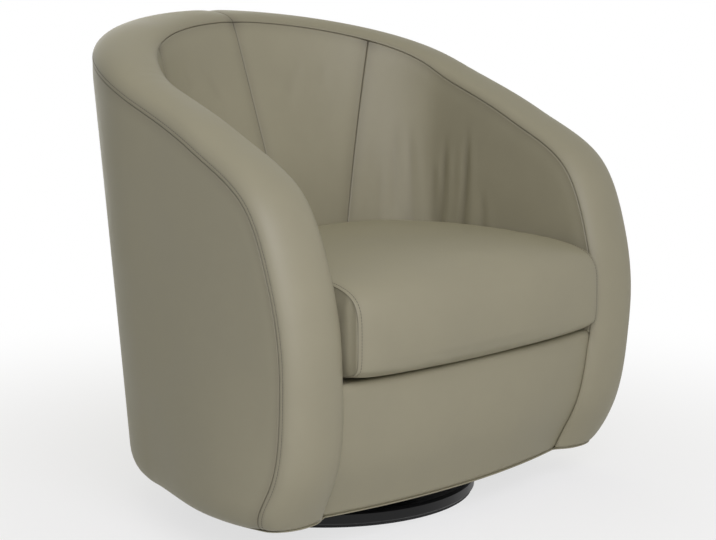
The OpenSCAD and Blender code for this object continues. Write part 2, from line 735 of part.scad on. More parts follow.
// Half of the back strip, in steps of the profile
strip_steps = 3;
function back_line(z) =
    [for (i = [0:plan_steps]) let (p = inner_point(i/plan_steps, z, 0)) [p.x, p.y - cushion_back_gap]];
function cushion_point(across, turn, depth) =
    let (high = mix(cushion_high, cushion_high - cushion_crown, pow(abs(across), crown_power)) - depth,
        low = mix(cushion_low, cushion_low + cushion_lift, pow(abs(across), crown_power)) + depth,
        power = sin(turn) > 0 ? top_power : under_power,
        rise = signed_pow(sin(turn), 2/power), reach = signed_pow(cos(turn), 2/power),
        z = cushion_mid + rise*(rise > 0 ? high - cushion_mid : cushion_mid - low),
        front = cushion_front + cushion_recess*pow(across, recess_power) + depth,
        back = lookup(abs(across)*cushion_half, back_line(z)) - depth)
    [across*(cushion_half - leather_t - layer_gap), mix(front, back, (1 + reach)/2), z];
function cushion_sheet(depth, first, last) =
    [for (i = [0:cushion_cols]) [for (s = [first:last])
        cushion_point(sin(90*(2*i/cushion_cols - 1)), 360*s/turn_steps, depth)]];

module cushion_core() {
    rings = cushion_sheet(leather_t + layer_gap, 0, turn_steps - 1);
    n = cushion_cols;
    m = turn_steps;
    color(foam) polyhedron(points = [for (ring = rings) each ring], faces = concat(
        [[for (s = [0:m - 1]) s]], [[for (s = [m - 1:-1:0]) n*m + s]],
        [for (i = [0:n - 1]) for (s = [0:m - 1]) let (t = (s + 1) % m) each [
            [i*m + s, (i + 1)*m + t, i*m + t], [i*m + s, (i + 1)*m + s, (i + 1)*m + t]]]));
}
module cushion_wrap() {
    color(leather) slab(cushion_sheet(0, strip_steps, turn_steps - strip_steps),
        cushion_sheet(leather_t, strip_steps, turn_steps - strip_steps));
}
module cushion_back_strip() {
    color(leather) slab(cushion_sheet(0, -strip_steps, strip_steps),
        cushion_sheet(leather_t, -strip_steps, strip_steps));
}
module cushion_gusset_right() {
    outline = [for (s = [0:turn_steps - 1])
        let (p = cushion_point(1, 360*s/turn_steps, 0)) [p.y, p.z]];
    color(leather) translate([cushion_half - leather_t, 0, 0])
        rotate([90, 0, 90]) linear_extrude(leather_t) polygon(outline);
}
module cushion_gusset_left() {
    color(leather) left() cushion_gusset_right();
}
// Columns of the cushion that the zip leaves free at each side
zip_inset_cols = 2;
module cushion_zip() {
    function zip_sheet(out) = [for (i = [zip_inset_cols:cushion_cols - zip_inset_cols])
        [for (z = [cushion_mid - zip_w/2, cushion_mid + zip_w/2])
            let (p = cushion_point(sin(90*(2*i/cushion_cols - 1)), 0, 0))
            [p.x, lookup(abs(p.x), back_line(z)) + 2*layer_gap + out, z]]];
    color(black) slab(zip_sheet(zip_t), zip_sheet(0));
}

base_plate();
base_pad();
base_riser();
base_screws();
lower_race();
lower_race_screws();
bearing_balls();
ball_cage();
upper_race();
upper_race_bolts();
bottom_board();
dust_cover();
rim_rail_left();
rim_rail_right();
arm_facing_left();
arm_facing_right();
back_posts();
arm_posts();
side_rail_left();
side_rail_right();
back_rail();
front_rail();
seat_springs();
spring_clips();
deck_pad();
deck_cover();
outer_board_left();
outer_board_right();
inner_board_left();
inner_board_right();
back_board();
outer_pad_left();
outer_pad_right();
arm_foam_left();
arm_foam_right();
back_foam();
rim_pad_left();
rim_pad_right();
front_pad();
outer_cover_left();
outer_cover_right();
rim_band_left();
rim_band_right();
inside_back_left();
inside_back_right();
inside_arm_left();
inside_arm_right();
front_panel();
cushion_core();
cushion_wrap();
cushion_gusset_left();
cushion_gusset_right();
cushion_back_strip();
cushion_zip();
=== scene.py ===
"""Dresses the frame of a leather swivel tub chair: covers, seams, cushion, base and stage."""
import json
import math

import bpy
import numpy as np
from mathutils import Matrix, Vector


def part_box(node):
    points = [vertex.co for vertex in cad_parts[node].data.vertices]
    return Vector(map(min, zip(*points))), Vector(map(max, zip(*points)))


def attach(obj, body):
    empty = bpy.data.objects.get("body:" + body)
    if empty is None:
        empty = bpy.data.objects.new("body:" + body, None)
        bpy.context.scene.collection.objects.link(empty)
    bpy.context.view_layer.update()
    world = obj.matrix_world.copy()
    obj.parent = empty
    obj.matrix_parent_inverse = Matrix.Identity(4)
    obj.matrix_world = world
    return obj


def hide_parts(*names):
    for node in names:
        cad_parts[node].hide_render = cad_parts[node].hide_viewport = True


bl_info = {
    "name": "Leather tub chair",
    "version": (1, 0, 0),
    "blender": (4, 5, 0),
    "location": "3D View > Sidebar > Tub chair",
    "description": "Covers the frame of a swivel tub chair in leather and sets it on a plain stage",
    "category": "Object",
}

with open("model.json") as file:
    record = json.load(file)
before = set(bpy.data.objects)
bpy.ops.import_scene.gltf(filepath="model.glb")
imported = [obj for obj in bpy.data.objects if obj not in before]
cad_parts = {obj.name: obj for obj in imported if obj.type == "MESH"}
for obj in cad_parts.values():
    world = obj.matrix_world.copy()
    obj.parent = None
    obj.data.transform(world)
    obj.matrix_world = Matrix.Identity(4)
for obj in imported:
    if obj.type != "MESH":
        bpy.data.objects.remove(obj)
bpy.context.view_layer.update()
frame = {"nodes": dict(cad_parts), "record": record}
MM = 0.001


# Values


def linear(code):
    """Turns an sRGB hex colour into linear red, green and blue."""
    parts = [int(code[i : i + 2], 16) / 255 for i in (1, 3, 5)]
    return tuple(c / 12.92 if c <= 0.04045 else ((c + 0.055) / 1.055) ** 2.4 for c in parts)


def length(name, description, millimetres):
    """A length in millimetres as a property in metres."""
    return bpy.props.FloatProperty(
        name=name, description=description, default=millimetres * MM, precision=4, unit="LENGTH",
        subtype="DISTANCE",
    )


def number(name, description, default):
    """A plain number as a property."""
    return bpy.props.FloatProperty(name=name, description=description, default=default)


def colour(name, description, code):
    """An sRGB hex colour as a property in linear values."""
    return bpy.props.FloatVectorProperty(
        name=name, description=description, default=linear(code), size=3, min=0, max=1, subtype="COLOR"
    )


def top_of(node):
    """Height of a node's top in millimetres."""
    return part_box(node)[1].z / MM


def foot_of(node):
    """Height of a node's underside in millimetres."""
    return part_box(node)[0].z / MM


class TubShape(bpy.types.PropertyGroup):
    """Outline of the upholstered wall."""

    rim_h: length("Rim height", "Height of the back's top edge", top_of("rim_band_left"))
    floor_gap: length("Floor gap", "Height of the tub's underside", foot_of("outer_cover_left"))
    tub_w: length("Tub width", "Width of the tub across the back curve, at the rim", 800)
    back_reach: length("Back reach", "How far the back curve reaches behind the arms", 326)
    curve_start: length("Curve start", "Distance from the swivel axis to the start of the back curve", 22)
    arm_len: length("Arm length", "Length of each arm, from the back curve to its furthest point", 371)
    arm_spread: length("Arm spread", "How far each arm opens outwards at its front", 26)
    side_taper: length("Side taper", "How far the sides draw in from the rim to the underside", 45)
    back_taper: length("Back taper", "How far the back draws in from the rim to the underside", 101)
    arm_bulge: length("Arm bulge", "How far the sides bulge outwards low down, halfway along the arms", 46)
    back_curve: number("Back squareness", "Squareness of the back curve, where 2 is an ellipse", 1.87)
    hem_h: length("Hem height", "Height of the rounded hem above the underside", 47)
    hem_in: length("Hem depth", "How far the rounded hem draws in at the underside", 30)
    back_wall: length("Back wall", "Thickness of the wall at the middle of the back, at the rim", 118)
    side_wall: length("Side wall", "Thickness of the wall at the sides, at the rim", 99)
    front_wall: length("Front wall", "Thickness of the wall at the front of the arms, at the rim", 126)
    lumbar: length("Lumbar", "Extra thickness of the back at the height of the seat", 83)
    arm_thinning: length("Arm thinning", "How much thinner the arms get at the height of the seat", 12)
    crown_out: length("Outer crown", "Depth of the rounded rim down to its outer seam", 30)
    crown_in: length("Inner crown", "Depth of the rounded rim down to its inner seam", 19)
    front_bow: length("Front bow", "How far the front panel bows forward at its foot", 31)
    deck_h: length("Deck height", "Height of the deck that carries the cushion", top_of("deck_cover"))


class CushionShape(bpy.types.PropertyGroup):
    """Outline of the loose seat cushion."""

    thickness: length("Thickness", "Thickness of the cushion at its middle", 176)
    crown: length("Crown", "How much lower the top is along the side seams", 20)
    lift: length("Lift", "How much higher the underside is along the side seams", 8)
    ahead: length("Ahead", "How far the cushion stands ahead of the front panel", 38)
    recess: length("Recess", "How far the front draws back at the side seams", 8)
    side_gap: length("Side gap", "Free space between the cushion and the arms", 2)
    back_gap: length("Back gap", "Free space between the cushion and the back", 5)
    slack: length("Slack", "How much smaller the cover starts before it is blown up", 4)
    swell: length("Swell", "The most that the stuffing may move the cover", 6)


class SewingSizes(bpy.types.PropertyGroup):
    """Sizes of the seams, creases and turned-in edges, the dust cloth, its staples and the zip."""

    roll: length("Roll", "Radius of the leather's edge where it turns into a seam", 2.8)
    pull: length("Pull", "How far a seam pulls the padding down", 1.8)
    pull_w: length("Pull width", "How far from the seam the padding is pulled down", 15)
    stitch_from: length("Stitch distance", "Distance of the top stitching from the seam", 7)
    stitch_pitch: length("Stitch pitch", "Distance from one stitch to the next", 4.6)
    stitch_len: length("Stitch length", "Visible length of a stitch", 3.6)
    thread: length("Thread", "Thickness of the thread, drawn twice as thick as real so that it shows", 0.9)
    leather: length("Leather", "Thickness of the leather", 1.4)
    pad: length("Padding", "Thickness of the padding that each cover carries with it", 9)
    front_roll: length("Front roll", "Radius of the front panel's edge where it turns back over the deck", 7)
    deck_strip: length("Deck strip", "How far the front panel's leather runs back over the deck", 100)
    deck_pad: length("Deck padding", "Thickness of the padding on the springs", 20)
    tuck: length("Tuck", "How far the front panel runs in behind the arm bands", 6)
    crease_w: length("Crease width", "Half width of a soft crease in the leather", 9.5)
    turn_under: length("Turn under", "Width of the leather that is turned in under the tub", 40)
    cloth_inset: length("Cloth inset", "How far the dust cloth stays inside the tub's edge", 18)
    cloth: length("Cloth", "Thickness of the dust cloth", 0.6)
    staple: length("Staple", "Width of a staple", 12)
    staple_pitch: length("Staple pitch", "Distance from one staple to the next", 26)
    wire: length("Staple wire", "Thickness of a staple's wire", 1.1)
    zip_w: length("Zip width", "Width of the zip between the edges of the leather", 8)
    coil_pitch: length("Coil pitch", "Distance from one turn of the zip's coil to the next", 2)
    coil_r: length("Coil radius", "Radius of the zip's coil", 1)
    zip_wire: length("Coil wire", "Thickness of the coil's nylon wire", 0.7)


class ChairColours(bpy.types.PropertyGroup):
    """Colours of the chair and its stage."""

    leather: colour("Leather", "Warm grey of the hide", "#9B967D")
    # Painted shade: a darker hide colour that is mixed in where seams and creases sink, in place of the shade
    # that falls there
    leather_seam_shade: colour("Painted seam shade", "Hide in the seams and creases", "#5C574A")
    thread: colour("Thread", "Sewing thread", "#635D4E")
    board: colour("Base board", "Black lacquer of the base", "#0C0C0C")
    rubber: colour("Rubber", "Pad under the base", "#1A1A1A")
    cloth: colour("Lining cloth", "Black lining and dust cloth", "#1D1D1F")
    plywood: colour("Plywood", "Birch plywood", "#CDA874")
    fibreboard: colour("Fibreboard", "Thin brown liners", "#8F7450")
    steel: colour("Steel", "Zinc plated steel", "#A9ACB0")
    zip: colour("Zip", "Nylon zip", "#57534A")
    foam: colour("Foam", "Foam under the leather", "#E4DAB8")
    floor: colour("Floor", "Pale studio floor", "#F2F2F0")


class StagePlan(bpy.types.PropertyGroup):
    """Camera and light, placed from the swivel axis on the floor."""

    camera: bpy.props.FloatVectorProperty(
        name="Camera", description="Place of the camera", default=(-1.9540, -2.0159, 0.8205),
        subtype="TRANSLATION",
    )
    target: bpy.props.FloatVectorProperty(
        name="Target", description="Point that the camera looks at", default=(0, -0.0739, 0.3714),
        subtype="TRANSLATION",
    )
    focal: number("Focal length", "Focal length in millimetres on a 36 mm wide sensor", 86.87)
    world: number("World light", "Strength of the light from all round", 0.12)
    key: number("Key light", "Power of the lamp in front, in watts", 84)
    fill: number("Fill light", "Power of the cool lamp at the left, in watts", 4)
    top: number("Top light", "Power of the warm lamp overhead, in watts", 10)
    back: number("Back light", "Power of the lamp behind, in watts", 26)


# Shape of the wall

# Rim line from the middle of the back to the foot of the arm's front: share of the way along the
# wall, where 1 is the end of the back curve and 2 the arm's furthest point, then share of the height.
RIM_SHARES = [
    (0, 1), (0.5, 0.966), (1, 0.867), (1.45, 0.773), (1.8, 0.664),
    (1.945, 0.497), (1.986, 0.38), (1.985, None), (1.932, 0.104), (1.83, 0),
]
# The node of the rim line that lies at the deck
DECK_NODE = 7
# The seam between the back and the arm starts in this stretch of the rim line, at this share of it
SEAM_STRETCH, SEAM_SHARE = 1, 0.2
# Places along the wall where the bulge of the sides begins and ends
BULGE_START_SHARE, BULGE_END_SHARE = 0.85, 2.15
# Place along the wall at which the last line of a cover reaches the underside, or the deck
OUTER_FAN_SHARE = 1.3
INNER_FAN_SHARE = 1.55
# The lumbar bulge is whole at the seat's level, a share of the height, and grows to this share of it below
LUMBAR_LIMIT_SHARE = 1.3
SEAT_LEVEL_SHARE = 0.49
# Space between layers that lie on each other, and round pieces that stand free
LAYER_GAP = 0.3 * MM
CLEARANCE = 1 * MM
# The plan is averaged over places this far apart along the wall, with these weights
EVEN_OUT = 27 * MM
EVEN_WEIGHTS = [(-2, 1 / 9), (-1, 2 / 9), (0, 3 / 9), (1, 2 / 9), (2, 1 / 9)]
SAMPLES = 60


def mix(start, end, share):
    """The value at a share of the way from start to end."""
    return start + (end - start) * share


def ease(share):
    """A share that starts and ends gently."""
    return (1 - np.cos(np.pi * share)) / 2


def unit(v):
    """Vectors at length 1."""
    return v / np.maximum(np.linalg.norm(v, axis=-1, keepdims=True), 1e-12)


def travelled(points):
    """Distance along each row of points from its first one."""
    steps = np.linalg.norm(np.diff(points, axis=-2), axis=-1)
    return np.concatenate([np.zeros(steps.shape[:-1] + (1,)), np.cumsum(steps, axis=-1)], axis=-1)


class Wall:
    """The upholstered wall: it turns a way along it, a height and a depth into points."""

    def __init__(self, shape):
        self.s = shape
        self.tall = shape.rim_h - shape.floor_gap
        self.back_arc = np.pi / 2 * np.sqrt((shape.tub_w**2 / 4 + shape.back_reach**2) / 2)
        deck_share = (shape.deck_h - shape.floor_gap) / self.tall
        nodes = [(self.arc_of(place), shape.floor_gap + self.tall * (deck_share if share is None else share))
                 for place, share in RIM_SHARES]
        self.trace_rim(np.array(nodes, float))

    def arc_of(self, place):
        """Length along the wall to a place."""
        past = np.maximum(np.asarray(place, float) - 1, 0)
        return np.minimum(place, 1) * self.back_arc + past * self.s.arm_len

    def place_of(self, arc):
        """Place on the wall at a length along it."""
        return np.where(arc <= self.back_arc, arc / self.back_arc, 1 + (arc - self.back_arc) / self.s.arm_len)

    def trace_rim(self, nodes):
        """Runs a smooth curve through the rim's nodes and keeps its line and its inward direction."""
        chord = np.linalg.norm(np.diff(nodes, axis=0), axis=1)
        way = np.diff(nodes, axis=0) / chord[:, None]
        slope = np.vstack([[1, 0], (way[:-1] * chord[1:, None] + way[1:] * chord[:-1, None])
                           / (chord[1:] + chord[:-1])[:, None], way[-1]])
        line, ways = [], []
        for i, c in enumerate(chord):
            t = np.linspace(0, 1, SAMPLES, endpoint=i == len(chord) - 1)[:, None]
            a, b, u, v = nodes[i], nodes[i + 1], slope[i] * c, slope[i + 1] * c
            line.append(a * (1 + 2 * t) * (1 - t) ** 2 + u * t * (1 - t) ** 2
                        + b * t * t * (3 - 2 * t) + v * t * t * (t - 1))
            ways.append(a * 6 * t * (t - 1) + u * (1 - t) * (1 - 3 * t)
                        + b * 6 * t * (1 - t) + v * t * (3 * t - 2))
        self.rim, ways = np.vstack(line), unit(np.vstack(ways))
        level = np.clip((self.rim[:, 1] - self.s.floor_gap) / self.s.hem_h, 0, 1)
        down = np.where(ways[:, 0] < 0, -ways[:, 0] * level, -ways[:, 0])
        self.rim_in = unit(np.stack([ways[:, 1], down], -1))
        self.run = travelled(self.rim)
        self.foot = self.run[-1]
        self.deck = self.run[DECK_NODE * SAMPLES]
        self.seam = self.run[round((SEAM_STRETCH + SEAM_SHARE) * SAMPLES)]

    def below_rim(self, run, depth):
        """Way along the wall and height of a point below the rim line."""
        at = [np.interp(run, self.run, self.rim[:, i]) + np.interp(run, self.run, self.rim_in[:, i]) * depth
              for i in (0, 1)]
        return at[0], at[1]

    def fallen(self, z):
        """Share of the way down from the rim to the underside."""
        return np.clip((self.s.rim_h - z) / self.tall, 0, 1)

    def bulge(self, place, z):
        """How far the sides bulge outwards."""
        along = (np.abs(place) - BULGE_START_SHARE) / (BULGE_END_SHARE - BULGE_START_SHARE)
        along = np.clip(along, 0, 1)
        return self.s.arm_bulge * (np.sin(np.pi * along) * self.fallen(z)) ** 2

    def draw_in(self, place, z):
        """How far the wall leans in below the rim."""
        taper = mix(self.s.back_taper, self.s.side_taper, ease(np.minimum(np.abs(place), 1)))
        return taper * self.fallen(z) - self.bulge(place, z)

    def hem(self, z):
        """How far the rounded hem draws in."""
        down = np.clip((self.s.floor_gap + self.s.hem_h - z) / self.s.hem_h, 0, 1)
        return self.s.hem_in * (1 - np.sqrt(1 - down * down))

    def thickness(self, place, z):
        """Thickness of the wall."""
        p = np.abs(place)
        turned = ease(np.minimum(p, 1))
        fall = np.minimum(self.fallen(z) / (1 - SEAT_LEVEL_SHARE), LUMBAR_LIMIT_SHARE)
        behind = mix(self.s.back_wall, self.s.side_wall, turned)
        at_rim = mix(behind, self.s.front_wall, np.clip(p - 1, 0, 1) ** 2)
        return at_rim + mix(self.s.lumbar, -self.s.arm_thinning, turned) * fall + self.bulge(place, z)

    def plan(self, place, inset):
        """Plan of the wall at a place, moved inwards from the rim's plan by inset."""
        s = self.s
        turn = np.pi / 2 * np.minimum(np.abs(place), 1)
        sine, cosine = np.sin(turn), np.abs(np.cos(turn))
        ahead = np.maximum(np.abs(place) - 1, 0)
        x = s.tub_w / 2 * sine ** (2 / s.back_curve) + s.arm_spread * ahead**2
        y = s.curve_start + s.back_reach * cosine ** (2 / s.back_curve) - ahead * s.arm_len
        power = 2 - 2 / s.back_curve
        out = unit(np.stack([sine**power / s.tub_w * 2, cosine**power / s.back_reach], -1))
        x = (x - out[..., 0] * inset) * np.where(place < 0, -1, 1)
        return np.stack([x, y - out[..., 1] * inset], -1)

    def point(self, place, z, inset):
        """A point of the wall, its plan smoothed over a short way, as padding does."""
        place = np.asarray(place, float)
        arc = self.arc_of(place)
        flat = sum(self.plan(self.place_of(arc + way * EVEN_OUT), inset) * weight
                   for way, weight in EVEN_WEIGHTS)
        x, y, z = np.broadcast_arrays(np.maximum(flat[..., 0], 0), flat[..., 1], z)
        return np.stack([x, y, z], -1)

    def outer(self, place, z):
        """A point of the outside."""
        return self.point(place, z, self.draw_in(place, z) + self.hem(z))

    def inner(self, place, z):
        """A point of the inside."""
        return self.point(place, z, self.draw_in(place, z) + self.thickness(place, z))

    def outer_fan(self, run, share):
        """The outside from the outer seam, at share 0, to the underside, at share 1."""
        arc, z = self.below_rim(run, self.s.crown_out)
        end = self.arc_of(OUTER_FAN_SHARE * run / self.foot)
        return self.outer(self.place_of(mix(arc, end, share)), mix(z, self.s.floor_gap, share))

    def inner_fan(self, run, share):
        """The inside from the inner seam, at share 0, to the deck, at share 1."""
        arc, z = self.below_rim(run, self.s.crown_in)
        end = self.arc_of(INNER_FAN_SHARE * run / self.deck)
        return self.inner(self.place_of(mix(arc, end, share)), mix(z, self.s.deck_h, share))

    def crown(self, run, share):
        """The rounded rim from its outer seam, at share 0, to its inner seam, at share 1."""
        turn = np.pi * share
        across = (1 - np.cos(turn)) / 2
        drop = np.where(share < 0.5, self.s.crown_out, self.s.crown_in)
        arc, z = self.below_rim(run, drop * (1 - np.sin(turn)))
        place = self.place_of(arc)
        inset = self.draw_in(place, z) + self.hem(z) * (1 - across) + self.thickness(place, z) * across
        return self.point(place, z, inset)

    def front(self, across, z):
        """The front panel between the inner seams of the arm fronts, at a height."""
        run = np.interp(-z, -self.front_heights(), self.front_runs())
        arc, level = self.below_rim(run, self.s.crown_in)
        side = self.inner(self.place_of(arc), level)
        down = (self.s.deck_h - level) / (self.s.deck_h - self.s.floor_gap)
        bow = self.s.front_bow * down * (1 - across**2)
        return np.stack([side[..., 0] * across, side[..., 1] - bow, level + 0 * across], -1)

    def front_runs(self):
        """Ways along the rim line between the deck and the foot."""
        return np.linspace(self.deck, self.foot, SAMPLES)

    def front_heights(self):
        """Heights of the inner seam at those ways."""
        return self.below_rim(self.front_runs(), self.s.crown_in)[1]


# Sheets of points

# Distances from a seam at which a sheet has a row of points, in millimetres
SEAM_ROWS = np.array([0, 0.25, 0.6, 1.1, 1.7, 2.4, 3.4, 4.8, 6, 7, 8, 9.4, 11.5, 14.5, 18.5, 24]) * MM
PLAIN_ROWS = np.array([0, 6]) * MM


def row_distances(total, start, end, count):
    """Distances along lines of a given total length: rows near each end, and even rows between them."""
    total = np.asarray(total)[..., None]
    middle = np.linspace(0, 1, count + 2)[1:-1]
    between = mix(start[-1], total - end[-1], middle)
    return np.concatenate([start + 0 * total, between, total - end[::-1]], axis=-1)


class Sheet:
    """A grid of points on a surface, with the distance of each point from its four edges."""

    def __init__(self, surface, span, sides, step, ends, count):
        first, last = span
        runs = np.linspace(first, last, 4 * SAMPLES)
        fine = np.linspace(0, 1, SAMPLES)
        gone = travelled(surface(runs[:, None], fine[None, :]))
        rows = row_distances(gone[:, -1], *ends, count)
        shares = np.array([np.interp(r, g, fine) for r, g in zip(rows, gone)])
        across = travelled(surface(runs[:, None], shares).swapaxes(0, 1))
        columns = int((across[:, -1].max() - sides[0][-1] - sides[1][-1]) / step)
        ways = row_distances(across[:, -1], *sides, columns)
        at = np.array([np.interp(w, a, runs) for w, a in zip(ways, across)]).T

        def moved(values):
            return np.stack([np.interp(at[:, i], runs, values[:, i]) for i in range(at.shape[1])], -1)

        self.runs = at
        self.points = surface(at, moved(shares))
        self.from_start = moved(rows)
        self.from_end = moved(gone[:, -1:] - rows)
        self.from_first = ways.T
        self.from_last = (across[:, -1:] - ways).T

    def normals(self, towards):
        """Unit normals, on the side where the given point lies or away from it."""
        out = np.cross(unit(np.gradient(self.points, axis=0)), unit(np.gradient(self.points, axis=1)))
        wide = np.pad(out, ((2, 2), (2, 2), (0, 0)), "edge")
        rows, columns = out.shape[:2]
        around = sum(wide[i : i + rows, j : j + columns] for i in range(5) for j in range(5)) / 25
        out = unit(out + around)
        point, sign = towards
        facing = np.sum(out * (np.asarray(point) - self.points), axis=-1).mean()
        return out * (1 if facing * sign > 0 else -1)


# The groove of the top stitching, in thicknesses of the thread
GROOVE_DEPTH, GROOVE_W = 0.5, 1.3
# A crease starts above its top and ends below its foot, and fades over these shares of its length
CREASE_START, CREASE_END = -0.15, 1.25
FADE_IN, FADE_OUT = 0.5, 0.25
# Its valley at the top and at the foot, and the ridge beside it, against the half width and the depth
CREASE_TOP, CREASE_FOOT = 0.7, 1.2
RIDGE_RISE, RIDGE_FROM, RIDGE_W = 0.45, 2.1, 1.1


def sewn(distance, sizes):
    """How far the cover sinks at a distance from a seam: a small roll in a wide soft dip."""
    t = np.clip(1 - distance / sizes.roll, 0, 1)
    return -sizes.roll * (1 - np.sqrt(1 - t * t)) - sizes.pull * np.exp(-((distance / sizes.pull_w) ** 2))


def stitched(distance, sizes):
    """The thin groove that the top stitching pulls into the cover."""
    aside = (distance - sizes.stitch_from) / (GROOVE_W * sizes.thread)
    return -GROOVE_DEPTH * sizes.thread * np.exp(-(aside**2))


def creased(sheet, creases, sizes):
    """Soft creases, each a shallow valley with a low ridge along one side, which fade out at both ends."""
    depth = np.zeros(sheet.from_first.shape)
    for top, bottom, deep in creases:
        top, bottom = np.array(top) * MM, np.array(bottom) * MM
        way = bottom - top
        long = np.linalg.norm(way)
        at = np.stack([sheet.from_first, sheet.from_start], -1) - top
        along = at @ way / long**2
        aside = (at[..., 0] * way[1] - at[..., 1] * way[0]) / long
        fade = ease(np.clip((along - CREASE_START) / FADE_IN, 0, 1))
        fade *= ease(np.clip((CREASE_END - along) / FADE_OUT, 0, 1))
        wide = sizes.crease_w * mix(CREASE_TOP, CREASE_FOOT, np.clip(along, 0, 1))
        ridge = np.exp(-(((aside - RIDGE_FROM * wide) / (RIDGE_W * wide)) ** 2))
        depth -= deep * MM * (np.exp(-((aside / wide) ** 2)) - RIDGE_RISE * ridge) * fade
    return depth


# Meshes


def new_mesh(name, points, faces):
    """A smooth mesh object from points and faces."""
    mesh = bpy.data.meshes.new(name)
    mesh.from_pydata([tuple(p) for p in points], [], faces)
    mesh.validate()
    mesh.polygons.foreach_set("use_smooth", [True] * len(mesh.polygons))
    thing = bpy.data.objects.new(name, mesh)
    bpy.context.scene.collection.objects.link(thing)
    return thing


def grid_faces(rows, columns, start, flip):
    """Faces of a grid of points."""
    at = start + np.arange(rows * columns).reshape(rows, columns)
    quads = np.stack([at[:-1, :-1], at[1:, :-1], at[1:, 1:], at[:-1, 1:]], -1).reshape(-1, 4)
    return (quads[:, ::-1] if flip else quads).tolist()


def tube_faces(start, stations, sides):
    """Faces of a tube: a ring of points at each station."""
    faces = []
    for i in range(stations - 1):
        for j in range(sides):
            a, b = start + i * sides + j, start + i * sides + (j + 1) % sides
            faces.append((a, b, b + sides, a + sides))
    return faces


def wire_faces(start, stations, sides):
    """Faces of a round wire: a tube with a flat face at each end."""
    last = start + (stations - 1) * sides
    ends = [tuple(range(start + sides - 1, start - 1, -1)), tuple(range(last, last + sides))]
    return tube_faces(start, stations, sides) + ends


def wire_points(spine, side, lift, radius, sides):
    """A ring of points round each point of a line, in the plane of two directions."""
    turns = 2 * np.pi * np.arange(sides) / sides
    loop = np.cos(turns)[:, None] * side[..., None, :] + np.sin(turns)[:, None] * lift[..., None, :]
    return (spine[:, None] + radius * loop).reshape(-1, 3)


def padded_sheet(name, near, far):
    """A closed pad between two grids of points."""
    rows, columns = near.shape[:2]
    count = rows * columns
    way = np.cross(near[1, 0] - near[0, 0], near[0, 1] - near[0, 0])
    flip = np.dot(way, near[0, 0] - far[0, 0]) < 0
    at = np.arange(count).reshape(rows, columns)
    ring = np.concatenate([at[:, 0], at[-1, 1:], at[-2::-1, -1], at[0, -2:0:-1]])
    after = np.roll(ring, -1)
    walls = np.stack([ring, ring + count, after + count, after], -1)
    if flip:
        walls = walls[:, ::-1]
    faces = grid_faces(rows, columns, 0, flip) + grid_faces(rows, columns, count, not flip)
    return new_mesh(name, np.concatenate([near.reshape(-1, 3), far.reshape(-1, 3)]), faces + walls.tolist())


# How sharply the painted shade of a seam fades beside it, on the tub's covers and on the cushion
COVER_SHADE_FADE, CUSHION_SHADE_FADE = 1.5, 2


def mark_painted_seam_shade(thing, sink, sizes, power):
    """Keeps how deep each point lies in a seam or crease, from 0 to 1, for the painted shade that darkens the
    leather there.
    """
    shade_amounts = np.clip(-sink / (sizes.roll + sizes.pull), 0, 1) ** power
    values = np.zeros(len(thing.data.vertices), np.float32)
    values[: shade_amounts.size] = shade_amounts.ravel()
    # The "seam" attribute holds painted shade: 1 where the leather is darkened most in a seam or crease
    thing.data.attributes.new("seam", "FLOAT", "POINT").data.foreach_set("value", values)


def cover(name, sheet, towards, sink, sizes):
    """A leather cover with its padding: the sheet, moved by how far it sinks."""
    out = sheet.normals(towards)
    near = sheet.points + out * sink[..., None]
    thing = padded_sheet(name, near, near - out * sizes.pad)
    # Painted shade: the cover's seams and creases are darkened in its colour
    mark_painted_seam_shade(thing, sink, sizes, COVER_SHADE_FADE)
    sheet.near, sheet.out = near, out
    return thing


def mirrored(thing, name):
    """A copy of a piece on the other side of the chair."""
    mesh = thing.data.copy()
    mesh.name = name
    mesh.transform(((-1, 0, 0, 0), (0, 1, 0, 0), (0, 0, 1, 0), (0, 0, 0, 1)))
    mesh.flip_normals()
    copy = bpy.data.objects.new(name, mesh)
    bpy.context.scene.collection.objects.link(copy)
    return copy


def finish_piece(thing, material, body, replaced=()):
    """Gives a piece its material and its body, and hides the nodes that it stands for."""
    thing.data.materials.append(material)
    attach(thing, body)
    if replaced:
        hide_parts(*replaced)


# Materials


def add(tree, kind, values=None, links=None, **settings):
    """Adds a node with its settings, the values of its inputs and its links."""
    node = tree.nodes.new(kind)
    for key, value in settings.items():
        setattr(node, key, value)
    for key, value in (values or {}).items():
        node.inputs[key].default_value = value
    for key, socket in (links or {}).items():
        tree.links.new(socket, node.inputs[key])
    return node


def start_material(name):
    """An empty material with its shader and its place coordinates in metres."""
    made = bpy.data.materials.get(name)
    if made:
        return made, None, None, None
    made = bpy.data.materials.new(name)
    made.use_nodes = True
    tree = made.node_tree
    shader = tree.nodes["Principled BSDF"]
    coords = add(tree, "ShaderNodeTexCoord").outputs["Object"]
    return made, tree, shader, coords


def rgba(values):
    """A colour with full alpha."""
    return (*values, 1)


